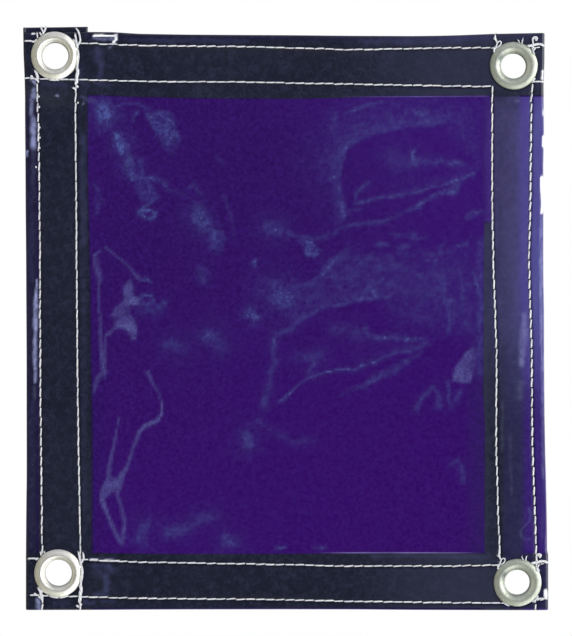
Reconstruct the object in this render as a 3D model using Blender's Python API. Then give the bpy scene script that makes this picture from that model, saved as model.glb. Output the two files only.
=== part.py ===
"""A small welding curtain panel: a sheet of dark violet PVC film with a taped, double-stitched hem
on each side and a grommet in each corner. It hangs upright: +Z is up, its front faces -Y, and the
origin is the centre of its box. Lengths are in metres."""

import math

import bmesh
import bpy

MM = 0.001

# Outside shape of the sheet, between its folds
WIDTH = 274.8 * MM
BOTTOM_FOLD = -154.25 * MM
TOP_FOLD = 151.25 * MM
LEFT_FLAP_END = 154.25 * MM  # the left hem's raw end stands above the top fold

# Layers, from front to back. A depth is measured from the middle of the front film.
FILM = 0.4 * MM
TAPE = 0.4 * MM
CLEARANCE = 0.3 * MM
LAYER_STEP = FILM / 2 + CLEARANCE + TAPE / 2
TOP_TAPE_DEPTH = LAYER_STEP
TOP_FLAP_DEPTH = 2 * LAYER_STEP
SIDE_TAPE_DEPTH = 3 * LAYER_STEP
SIDE_FLAP_DEPTH = 4 * LAYER_STEP
FOLD_STEPS = 8

# Free edges of the four flaps behind the sheet
LEFT_FLAP_EDGE = -105.3 * MM
RIGHT_FLAP_EDGE = 109.9 * MM
TOP_FLAP_EDGE = 119.2 * MM
BOTTOM_FLAP_EDGE = -122.6 * MM

# Hem tapes. The right one is narrower, and its upper stretch is set back from the clear panel.
LEFT_TAPE = (-130.8 * MM, -102.7 * MM)
RIGHT_TAPE = (106.1 * MM, 124.5 * MM)
RIGHT_TAPE_SET_BACK = 3.7 * MM
RIGHT_TAPE_STEP_HEIGHT = 51.4 * MM
TOP_TAPE = (117.7 * MM, 145.7 * MM)
BOTTOM_TAPE = (-151.2 * MM, -123.2 * MM)
TAPE_END_MARGIN = 1.0 * MM

# Grommets: centres (x, z) as set by hand, so the four aren't quite square
GROMMET_CENTRES = {
    "top_left": (-121.8 * MM, 139.4 * MM),
    "top_right": (121.2 * MM, 134.1 * MM),
    "bottom_left": (-120.0 * MM, -134.6 * MM),
    "bottom_right": (123.2 * MM, -139.6 * MM),
}
BORE_RADIUS = 7.0 * MM
BARREL_RADIUS = 7.6 * MM
HOLE_RADIUS = BARREL_RADIUS + CLEARANCE
FLANGE_RADIUS = 12.7 * MM
FLANGE_HEIGHT = 2.0 * MM
LIP_RADIUS = 9.5 * MM
LIP_HEIGHT = 1.0 * MM
WASHER_THICKNESS = 0.8 * MM
WASHER_CHAMFER = 0.25 * MM
SEAT_RADIUS = 10.0 * MM  # the lip sits in a shallow seat inside this radius
SEAT_DROP = 0.2 * MM
ROUND_SEGMENTS = 32
DOME_STEPS = 8
LIP_STEPS = 6

FLANGE_SEAT_DEPTH = -FILM / 2 - CLEARANCE
WASHER_FRONT_DEPTH = SIDE_FLAP_DEPTH + FILM / 2 + CLEARANCE
WASHER_BACK_DEPTH = WASHER_FRONT_DEPTH + WASHER_THICKNESS
LIP_SEAT_DEPTH = WASHER_BACK_DEPTH + CLEARANCE

# Sewing thread and the points (x, z) that each row of stitches passes through
THREAD_RADIUS = 0.4 * MM
FRONT_THREAD_DEPTH = -FILM / 2 - CLEARANCE - THREAD_RADIUS
LEVEL_BACK_THREAD_DEPTH = TOP_FLAP_DEPTH + FILM / 2 + CLEARANCE + THREAD_RADIUS
UPRIGHT_BACK_THREAD_DEPTH = SIDE_FLAP_DEPTH + FILM / 2 + CLEARANCE + THREAD_RADIUS
STITCH_ROWS_MM = {
    "top_outer": ((-106.5, 145.8), (-71.0, 144.7), (35.0, 142.7), (106.5, 143.5)),
    "top_inner": ((-111.5, 127.0), (-71.0, 125.8), (35.0, 124.4), (111.0, 123.3)),
    "bottom_inner": ((-104.0, -127.7), (-18.0, -129.7), (35.0, -130.9), (108.5, -130.6)),
    "bottom_outer": ((-112.0, -146.7), (-71.0, -147.9), (35.0, -149.4), (112.0, -150.4)),
    "left_outer": ((-130.9, 124.5), (-129.7, 36.0), (-129.2, -69.0), (-128.4, -122.0)),
    "left_inner": ((-110.9, 124.0), (-110.3, 36.0), (-109.3, -69.0), (-108.3, -125.0)),
    "right_outer": ((130.0, 118.5), (129.2, 31.0), (131.0, -69.0), (132.4, -128.0)),
    "right_inner": ((109.8, 121.5), (110.4, 31.0), (111.9, -69.0), (113.8, -124.0)),
}
THREAD_END_MARGIN = 0.5 * MM

# The whole panel is shifted along Y so that the origin is at the middle of its thickness
FRONT_DEPTH = FLANGE_SEAT_DEPTH - FLANGE_HEIGHT
BACK_DEPTH = LIP_SEAT_DEPTH + LIP_HEIGHT
MIDDLE_DEPTH = (FRONT_DEPTH + BACK_DEPTH) / 2


def clear_scene():
    for thing in list(bpy.data.objects):
        bpy.data.objects.remove(thing, do_unlink=True)


def make_material(name, colour, roughness, metallic, alpha=1.0):
    material = bpy.data.materials.new(name)
    material.use_nodes = True
    shader = material.node_tree.nodes["Principled BSDF"]
    shader.inputs["Base Color"].default_value = (*colour, 1.0)
    shader.inputs["Roughness"].default_value = roughness
    shader.inputs["Metallic"].default_value = metallic
    shader.inputs["Alpha"].default_value = alpha
    material.diffuse_color = (*colour, alpha)
    return material


def place(x, depth, z):
    """A point of the panel, from its depth behind the front film's middle."""
    return (x, depth - MIDDLE_DEPTH, z)


def add_mesh_object(name, mesh_builder, material, smooth_angle=None):
    bmesh.ops.recalc_face_normals(mesh_builder, faces=mesh_builder.faces)
    mesh = bpy.data.meshes.new(name)
    mesh_builder.to_mesh(mesh)
    mesh_builder.free()
    mesh.materials.append(material)
    if smooth_angle is not None:
        mesh.shade_smooth()
        mesh.set_sharp_from_angle(angle=math.radians(smooth_angle))
    thing = bpy.data.objects.new(name, mesh)
    bpy.context.scene.collection.objects.link(thing)
    return thing


def half_turn(centre, radius, outward, steps):
    """Points (position, depth) round a hem's fold, from the front film to its flap."""
    points = []
    for step in range(steps + 1):
        angle = math.pi * step / steps
        position = centre + outward * radius * math.sin(angle)
        depth = radius * (1.0 - math.cos(angle))
        points.append((position, depth))
    return points


def turned_object(name, profile, centre, material):
    """A solid of revolution about a line along Y through centre, from its (radius, depth) outline."""
    builder = bmesh.new()
    rings = []
    for index in range(ROUND_SEGMENTS):
        angle = 2.0 * math.pi * index / ROUND_SEGMENTS
        ring = []
        for radius, depth in profile:
            x = centre[0] + radius * math.cos(angle)
            z = centre[1] + radius * math.sin(angle)
            ring.append(builder.verts.new(place(x, depth, z)))
        rings.append(ring)
    for index, ring in enumerate(rings):
        following = rings[(index + 1) % ROUND_SEGMENTS]
        for corner in range(len(profile)):
            after = (corner + 1) % len(profile)
            builder.faces.new((ring[corner], ring[after], following[after], following[corner]))
    return add_mesh_object(name, builder, material, smooth_angle=35)


def bore_cutters():
    """Guides that punch the grommet holes through the film and the tapes."""
    cutters = []
    depth = 4.0 * SIDE_FLAP_DEPTH
    for corner, (x, z) in GROMMET_CENTRES.items():
        builder = bmesh.new()
        bmesh.ops.create_cone(
            builder,
            cap_ends=True,
            segments=ROUND_SEGMENTS,
            radius1=HOLE_RADIUS,
            radius2=HOLE_RADIUS,
            depth=depth,
        )
        cutter = add_mesh_object(f"{corner}_cutter", builder, None)
        cutter.rotation_euler = (math.pi / 2, 0.0, 0.0)
        cutter.location = (x, 0.0, z)
        cutter.hide_render = True
        cutter.display_type = "WIRE"
        cutters.append(cutter)
    return cutters


def punch(thing, cutters):
    for cutter in cutters:
        hole = thing.modifiers.new(cutter.name, "BOOLEAN")
        hole.operation = "DIFFERENCE"
        hole.object = cutter


def add_surface(builder, lines):
    """Faces between neighbouring lines of vertices."""
    for line, following in zip(lines, lines[1:]):
        for index in range(len(line) - 1):
            corners = (line[index], line[index + 1], following[index + 1], following[index])
            builder.faces.new(corners)


def make_film_sheet(material, cutters):
    """The film's middle surface as one net: the front, and a folded flap on each side of it.
    The front is split along the hems' inner edges, so that the clear panel is one flat face."""
    level_radius = TOP_FLAP_DEPTH / 2
    upright_radius = SIDE_FLAP_DEPTH / 2
    side = WIDTH / 2 - upright_radius - FILM / 2
    top = TOP_FOLD - level_radius - FILM / 2
    bottom = BOTTOM_FOLD + level_radius + FILM / 2
    x_lines = (-side, LEFT_TAPE[1], RIGHT_TAPE[0], side)
    z_lines = (bottom, BOTTOM_TAPE[1], TOP_TAPE[0], top)

    builder = bmesh.new()
    front = [[builder.verts.new(place(x, 0.0, z)) for z in z_lines] for x in x_lines]
    add_surface(builder, front)

    for end, outward, free_edge in ((-1, 1, TOP_FLAP_EDGE), (0, -1, BOTTOM_FLAP_EDGE)):
        route = half_turn(z_lines[end], level_radius, outward, FOLD_STEPS)
        route.append((free_edge, TOP_FLAP_DEPTH))
        lines = []
        for x, column in zip(x_lines, front):
            beyond = [builder.verts.new(place(x, depth, z)) for z, depth in route[1:]]
            lines.append([column[end]] + beyond)
        add_surface(builder, lines)

    for end, outward, free_edge, upper_end in (
        (0, -1, LEFT_FLAP_EDGE, LEFT_FLAP_END),
        (-1, 1, RIGHT_FLAP_EDGE, top),
    ):
        route = half_turn(x_lines[end], upright_radius, outward, FOLD_STEPS)
        lines = []
        for z, start in zip(z_lines, front[end]):
            beyond = [builder.verts.new(place(x, depth, z)) for x, depth in route[1:]]
            lines.append([start] + beyond)
        add_surface(builder, lines)
        flap = [line[-1] for line in lines]
        if upper_end > top:
            flap.append(builder.verts.new(place(x_lines[end], SIDE_FLAP_DEPTH, upper_end)))
        flap.append(builder.verts.new(place(free_edge, SIDE_FLAP_DEPTH, upper_end)))
        flap.append(builder.verts.new(place(free_edge, SIDE_FLAP_DEPTH, bottom)))
        builder.faces.new(flap)

    film = add_mesh_object("film_sheet", builder, material, smooth_angle=40)
    skin = film.modifiers.new("film_thickness", "SOLIDIFY")
    skin.thickness = FILM
    skin.offset = 0.0
    skin.use_even_offset = True
    punch(film, cutters)
    return film


def make_tape(name, outline, depth, material, cutters):
    """A flat strip from its outline (x, z), with the grommet holes punched through it."""
    builder = bmesh.new()
    front = depth - TAPE / 2
    corners = [builder.verts.new(place(x, front, z)) for x, z in outline]
    face = builder.faces.new(corners)
    grown = bmesh.ops.extrude_face_region(builder, geom=[face])
    back = [item for item in grown["geom"] if isinstance(item, bmesh.types.BMVert)]
    bmesh.ops.translate(builder, vec=(0.0, TAPE, 0.0), verts=back)
    tape = add_mesh_object(name, builder, material)
    punch(tape, cutters)
    return tape


def box_outline(low_x, high_x, low_z, high_z):
    return [(low_x, low_z), (high_x, low_z), (high_x, high_z), (low_x, high_z)]


def make_tapes(material, cutters):
    level_end = WIDTH / 2 - SIDE_FLAP_DEPTH / 2 - FILM / 2 - TAPE_END_MARGIN
    upright_low = BOTTOM_FOLD + TAPE_END_MARGIN
    upright_high = TOP_FOLD - TAPE_END_MARGIN
    top = box_outline(-level_end, level_end, *TOP_TAPE)
    bottom = box_outline(-level_end, level_end, *BOTTOM_TAPE)
    left = box_outline(*LEFT_TAPE, upright_low, upright_high)
    inner, outer = RIGHT_TAPE
    upper_inner = inner + RIGHT_TAPE_SET_BACK
    right = [
        (inner, upright_low),
        (outer, upright_low),
        (outer, upright_high),
        (upper_inner, upright_high),
        (upper_inner, RIGHT_TAPE_STEP_HEIGHT),
        (inner, RIGHT_TAPE_STEP_HEIGHT),
    ]
    make_tape("top_hem_tape", top, TOP_TAPE_DEPTH, material, cutters)
    make_tape("bottom_hem_tape", bottom, TOP_TAPE_DEPTH, material, cutters)
    make_tape("left_hem_tape", left, SIDE_TAPE_DEPTH, material, cutters)
    make_tape("right_hem_tape", right, SIDE_TAPE_DEPTH, material, cutters)


def make_thread(name, points, material):
    """A thread as a round tube through points, capped at both ends."""
    curve = bpy.data.curves.new(name, "CURVE")
    curve.dimensions = "3D"
    curve.bevel_depth = THREAD_RADIUS
    curve.bevel_resolution = 2
    curve.use_fill_caps = True
    spline = curve.splines.new("POLY")
    spline.points.add(len(points) - 1)
    for target, point in zip(spline.points, points):
        target.co = (*point, 1.0)
    curve.materials.append(material)
    thing = bpy.data.objects.new(name, curve)
    bpy.context.scene.collection.objects.link(thing)
    return thing


def cut_row(row, axis, low, high):
    """The stretch of a row of stitches between two positions along one axis."""
    ordered = sorted(row, key=lambda point: point[axis])
    kept = [point_on_row(ordered, axis, max(low, ordered[0][axis]))]
    last = min(high, ordered[-1][axis])
    kept += [point for point in ordered if kept[0][axis] < point[axis] < last]
    kept.append(point_on_row(ordered, axis, last))
    return kept


def point_on_row(ordered, axis, position):
    for first, second in zip(ordered, ordered[1:]):
        if position <= second[axis]:
            share = (position - first[axis]) / (second[axis] - first[axis])
            return tuple(a + (b - a) * share for a, b in zip(first, second))
    return ordered[-1]


def make_threads(material):
    """Each row's needle thread on the front, and its bobbin thread on the back of its own hem.
    The side hems are folded last, so a level row's bobbin thread shows only between their tapes."""
    reach = THREAD_RADIUS + THREAD_END_MARGIN
    for row_name, row_mm in STITCH_ROWS_MM.items():
        row = [(x * MM, z * MM) for x, z in row_mm]
        level = row_name.startswith(("top", "bottom"))
        front = [place(x, FRONT_THREAD_DEPTH, z) for x, z in row]
        make_thread(f"{row_name}_needle_thread", front, material)
        if level:
            low = LEFT_TAPE[1] + reach
            high = RIGHT_TAPE[0] - reach
            stretch = cut_row(row, 0, low, high)
            depth = LEVEL_BACK_THREAD_DEPTH
        else:
            stretch = row
            depth = UPRIGHT_BACK_THREAD_DEPTH
        back = [place(x, depth, z) for x, z in stretch]
        make_thread(f"{row_name}_bobbin_thread", back, material)


def ellipse_points(centre_radius, centre_depth, half_width, height, steps):
    """Points (radius, depth) over a rounded crown, from its outer edge to its inner edge."""
    points = []
    for step in range(steps + 1):
        angle = math.pi * step / steps
        radius = centre_radius + half_width * math.cos(angle)
        depth = centre_depth + height * math.sin(angle)
        points.append((radius, depth))
    return points


def grommet_profile():
    """Domed flange in front, thin barrel through the layers, rolled lip over the washer."""
    flange_middle = (FLANGE_RADIUS + BORE_RADIUS) / 2
    flange_half = (FLANGE_RADIUS - BORE_RADIUS) / 2
    dome = ellipse_points(flange_middle, FLANGE_SEAT_DEPTH, flange_half, -FLANGE_HEIGHT, DOME_STEPS)
    lip_middle = (LIP_RADIUS + BORE_RADIUS) / 2
    lip_half = (LIP_RADIUS - BORE_RADIUS) / 2
    lip = ellipse_points(lip_middle, LIP_SEAT_DEPTH, lip_half, LIP_HEIGHT, LIP_STEPS)
    lip.reverse()
    barrel = [(BARREL_RADIUS, LIP_SEAT_DEPTH), (BARREL_RADIUS, FLANGE_SEAT_DEPTH)]
    return dome + lip + barrel


def washer_profile():
    """A ring with a shallow seat for the lip, and a flat outer ring behind it."""
    rim = FLANGE_RADIUS - WASHER_CHAMFER
    seat = WASHER_BACK_DEPTH - SEAT_DROP
    return [
        (HOLE_RADIUS, WASHER_FRONT_DEPTH),
        (FLANGE_RADIUS, WASHER_FRONT_DEPTH),
        (FLANGE_RADIUS, WASHER_BACK_DEPTH - WASHER_CHAMFER),
        (rim, WASHER_BACK_DEPTH),
        (SEAT_RADIUS, WASHER_BACK_DEPTH),
        (SEAT_RADIUS - SEAT_DROP, seat),
        (HOLE_RADIUS, seat),
    ]


def make_grommets(material):
    for corner, centre in GROMMET_CENTRES.items():
        turned_object(f"{corner}_grommet", grommet_profile(), centre, material)
        turned_object(f"{corner}_washer", washer_profile(), centre, material)


def main():
    clear_scene()
    film = make_material("violet_film", (0.037, 0.006, 0.141), 0.12, 0.0, alpha=0.85)
    tape = make_material("black_tape", (0.012, 0.013, 0.020), 0.7, 0.0)
    thread = make_material("white_thread", (0.62, 0.63, 0.60), 0.6, 0.0)
    nickel = make_material("nickel_plate", (0.62, 0.62, 0.56), 0.25, 1.0)
    cutters = bore_cutters()
    make_film_sheet(film, cutters)
    make_tapes(tape, cutters)
    make_threads(thread)
    make_grommets(nickel)


main()
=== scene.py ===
import math

import bmesh
import bpy
import numpy as np
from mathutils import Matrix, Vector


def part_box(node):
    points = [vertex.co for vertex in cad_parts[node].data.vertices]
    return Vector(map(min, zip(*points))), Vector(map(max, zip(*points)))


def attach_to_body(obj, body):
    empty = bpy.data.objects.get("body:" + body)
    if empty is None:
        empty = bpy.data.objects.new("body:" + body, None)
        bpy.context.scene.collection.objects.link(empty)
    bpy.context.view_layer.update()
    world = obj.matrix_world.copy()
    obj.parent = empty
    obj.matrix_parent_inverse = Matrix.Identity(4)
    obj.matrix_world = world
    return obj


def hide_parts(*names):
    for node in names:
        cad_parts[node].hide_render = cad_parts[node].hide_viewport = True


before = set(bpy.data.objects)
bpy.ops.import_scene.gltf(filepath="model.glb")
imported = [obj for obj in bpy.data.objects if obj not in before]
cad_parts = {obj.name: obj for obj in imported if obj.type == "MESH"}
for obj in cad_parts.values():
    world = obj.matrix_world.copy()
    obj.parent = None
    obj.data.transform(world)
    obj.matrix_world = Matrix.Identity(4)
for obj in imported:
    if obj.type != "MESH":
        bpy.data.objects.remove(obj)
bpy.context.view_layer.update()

MM = 0.001

# ---------------------------------------------------------------- places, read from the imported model
CORNERS = ("top_left", "top_right", "bottom_left", "bottom_right")
HEMS = ("top", "bottom", "left", "right")
FILM_LOW, FILM_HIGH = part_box("film_sheet")
FILM_THICKNESS = 0.38 * MM
FRONT_MIDDLE_Y = FILM_LOW.y + FILM_THICKNESS / 2
HALF_WIDTH = FILM_HIGH.x
BOTTOM_FOLD = FILM_LOW.z
TAPE_BOX = {hem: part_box(f"{hem}_hem_tape") for hem in HEMS}


def node_centre(node):
    low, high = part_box(node)
    return (low + high) / 2


GROMMETS = {corner: node_centre(f"{corner}_grommet") for corner in CORNERS}
FLANGE_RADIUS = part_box("top_left_grommet")[1].x - GROMMETS["top_left"].x

# ---------------------------------------------------------------- the sewn panel's own sizes
TOP_FOLD = 151.25 * MM
LEFT_FLAP_EDGE = -105.3 * MM
RIGHT_FLAP_EDGE = 109.9 * MM
TOP_FLAP_EDGE = 119.2 * MM
BOTTOM_FLAP_EDGE = -124.8 * MM
LAYER_PITCH = 0.45 * MM
TAPE_THICKNESS = 0.35 * MM
RAISED_FLAP = 2.9 * MM  # the left hem was folded askew, so its back stands above the top fold
TAPE_SPLICE_Z = 51.4 * MM
TAPE_SPLICE_STEP = 3.7 * MM
PILLOW = 0.22 * MM
STITCH_PITCH = 5.2 * MM
TOP_TAPE_SLANT = 0.0060
LOW_LIP_HEIGHT = TAPE_BOX["bottom"][1].z - 0.7 * MM  # where the film steps over a tape's edge
HIGH_LIP_HEIGHT = TAPE_BOX["top"][0].z - 0.3 * MM
HOLE_RADIUS = 8.6 * MM  # the film and the tapes stop this far from a grommet's middle

# Rows of stitches: 0 for a row along X or 1 for one along Z, and its points (x, z) in millimetres
ROWS = {
    "top_outer": (0, ((-137.7, 147.3), (-108.5, 146.0), (-71.4, 144.7), (-18.4, 144.3),
                      (34.6, 142.6), (87.6, 143.6), (136.0, 143.6))),
    "top_inner": (0, ((-137.7, 127.5), (-111.0, 126.7), (-71.4, 125.7), (-18.4, 125.5),
                      (34.6, 124.4), (87.6, 123.4), (109.8, 123.1))),
    "bottom_inner": (0, ((-135.5, -126.7), (-108.5, -127.5), (-71.4, -128.8), (-18.4, -129.7),
                         (34.6, -130.9), (87.6, -130.9), (137.0, -129.6))),
    "bottom_outer": (0, ((-135.5, -146.2), (-108.5, -147.1), (-71.4, -147.9), (-18.4, -148.4),
                         (34.6, -149.5), (87.6, -150.3), (114.0, -150.5), (137.0, -148.4))),
    "left_outer": (1, ((-128.4, -154.0), (-128.5, -122.4), (-129.1, -69.4), (-129.7, -16.0),
                       (-129.7, 36.0), (-130.3, 100.2), (-131.3, 126.0))),
    "left_inner": (1, ((-108.3, -154.0), (-108.3, -122.4), (-109.3, -69.0), (-110.1, -16.0),
                       (-110.4, 36.0), (-110.9, 116.0), (-110.4, 128.0))),
    "right_outer": (1, ((132.7, -154.0), (133.1, -122.4), (131.0, -69.0), (130.5, -16.0),
                        (129.2, 31.0), (130.0, 63.0), (130.5, 116.0), (131.5, 128.0))),
    "right_inner": (1, ((114.0, -125.5), (113.0, -106.5), (111.9, -69.0), (111.9, -16.0),
                        (110.3, 31.0), (109.8, 63.0), (109.8, 123.3))),
}

# How far each fold and tape edge strays from its straight line, as (place along it, shift) in
# millimetres: upwards for a level edge and to the right for an upright one
TOP_FOLD_SHIFT = (
    (-137.0, 0.15), (-104.0, 0.55), (-91.0, 0.45), (-77.0, -0.4), (-51.0, -0.75), (0.0, -1.0),
    (35.0, -1.4), (68.0, -1.55), (82.0, -1.4), (95.0, -1.0), (109.0, -0.45), (137.0, 0.1),
)
BOTTOM_FOLD_SHIFT = (
    (-137.0, 0.25), (-104.0, 0.35), (-77.0, 0.57), (-51.0, 0.65), (0.0, 0.6), (42.0, 0.5),
    (68.0, 0.3), (95.0, 0.2), (137.0, 0.15),
)
LEFT_FOLD_SHIFT = (
    (-125.0, 0.35), (-111.0, 0.55), (-85.0, 0.8), (-45.0, 0.77), (-5.0, 0.62), (74.0, 0.25),
    (116.0, 0.0), (127.0, -0.3), (140.0, -0.9), (154.0, -1.1),
)
RIGHT_FOLD_SHIFT = (
    (-125.0, 2.0), (-122.5, 1.4), (-98.0, 1.0), (-82.0, 0.65), (-70.0, 0.3), (-50.0, -0.1),
    (-20.0, -0.3), (5.0, -0.35), (20.0, -0.6), (80.0, -0.6), (98.0, -0.25), (117.0, -0.4),
    (128.0, -0.4), (135.0, 0.0), (154.0, 0.1),
)
TOP_TAPE_SHIFT = ((-98.0, 0.6), (-82.0, -0.1), (-50.0, -0.75), (-3.0, -1.1), (29.0, -0.7), (45.0, 0.2),
                  (104.0, 0.6))
BOTTOM_TAPE_SHIFT = ((-98.0, -0.7), (-66.0, -1.15), (-3.0, -1.2), (104.0, -0.9))
LEFT_TAPE_SHIFT = ((-64.0, 0.6), (-22.0, 0.0), (31.0, -0.6), (74.0, -1.6))
RIGHT_TAPE_SHIFT = ((-56.0, -0.3), (-40.0, -1.0), (0.0, -1.0), (51.0, -0.5))

# How much a painted reflection whitens the right hem's film across it, as (x in millimetres, share),
# high up and low down
UPPER_STRIP_REFLECTION = ((104.0, 0.0), (106.5, 0.16), (109.0, 0.26), (110.9, 0.42), (113.0, 0.34), (117.0, 0.42),
              (124.0, 0.52), (128.0, 0.60), (134.0, 0.74))
LOWER_STRIP_REFLECTION = ((108.0, 0.0), (110.0, 0.02), (119.0, 0.04), (126.0, 0.05), (135.0, 0.12))

# Marks on the film. A stroke is its strength, its radius and its points (x, z) in millimetres,
# where a point may end with its own share of the radius
# Creases: ridges standing forward of the film, with a painted highlight along each
CREASES = (
    (0.60, 0.7, ((-96.9, 36.0), (-101.1, 33.9), (-100.6, 27.5), (-97.9, 22.2), (-99.0, 12.7),
                 (-97.9, 2.1), (-97.4, -9.0, 1.4), (-96.9, -19.6, 1.8), (-95.8, -28.1, 2.2),
                 (-99.5, -31.3, 2.0), (-101.7, -39.7, 0.8))),
    (0.45, 0.7, ((-94.8, -9.0), (-95.3, -19.6, 1.2), (-95.8, -31.3))),
    (0.35, 2.0, ((-100.2, 32.0), (-99.6, 27.0), (-98.0, 21.0))),
    (0.60, 0.6, ((-94.8, 37.6), (-90.0, 33.9), (-84.7, 29.7), (-81.0, 25.4), (-78.9, 22.8, 2.0),
                 (-77.2, 22.2, 1.4))),
    (0.75, 0.7, ((-72.5, -28.6, 1.8), (-70.4, -33.4, 1.2), (-67.2, -38.7), (-65.3, -44.0, 0.9),
                 (-65.1, -49.3, 1.3), (-67.7, -53.5, 2.0), (-74.1, -56.7, 2.0), (-77.3, -59.9, 1.6),
                 (-79.9, -67.3, 1.4), (-83.1, -76.9, 1.5), (-86.3, -83.2, 1.8), (-87.9, -90.6, 2.0))),
    (0.75, 0.7, ((-87.4, -51.4, 0.7), (-88.9, -57.8, 0.8), (-90.5, -65.2, 1.2), (-92.7, -76.9, 1.5),
                 (-93.7, -85.3, 1.9), (-96.4, -90.6, 2.2), (-96.6, -96.0, 1.8), (-93.2, -105.5, 1.6),
                 (-90.0, -112.9, 1.8), (-86.3, -118.7, 1.9))),
    (0.70, 0.7, ((-88.4, -92.8, 1.6), (-86.3, -100.2, 1.5), (-84.7, -107.6, 1.6), (-85.8, -116.1, 1.8))),
)
# Patches of painted highlight on the creased film: strength, softness of the edge, and the outline in
# millimetres
CREASE_HIGHLIGHT_PATCHES = (
    (0.80, 0.5, ((-83.0, 11.5), (-80.0, 12.6), (-77.2, 11.2), (-76.8, 8.0), (-80.5, 7.0), (-82.4, 8.4))),
    (0.80, 0.5, ((-89.0, -1.0), (-84.0, 0.8), (-80.4, -1.5), (-78.0, -6.0), (-78.9, -11.1),
                 (-81.0, -11.1), (-83.1, -6.9), (-86.3, -4.6), (-89.5, -4.8))),
    (0.52, 0.5, ((-85.8, 18.0), (-82.6, 20.7), (-80.5, 20.1), (-79.9, 12.7), (-76.8, 10.6),
                 (-77.3, 7.9), (-82.1, 7.9), (-82.1, 3.2), (-79.4, -1.1), (-77.8, -5.8),
                 (-78.9, -11.1), (-81.0, -11.1), (-83.1, -6.9), (-86.3, -4.8), (-90.0, -5.3),
                 (-93.2, -9.0), (-95.8, -9.0), (-90.6, -3.0), (-92.1, 2.1), (-90.0, 6.3), (-85.8, 9.5))),
    (0.60, 0.5, ((-93.2, -83.2), (-88.9, -84.3), (-86.3, -79.0), (-85.8, -84.3), (-88.4, -92.8),
                 (-91.1, -91.7), (-95.3, -95.9), (-96.9, -95.9), (-95.8, -89.6))),
    (0.62, 0.5, ((100.2, -15.1), (101.5, -20.4), (100.2, -28.4), (98.2, -34.3), (88.9, -33.0),
                 (89.5, -27.0), (92.9, -21.7), (95.5, -17.8))),
)
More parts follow.
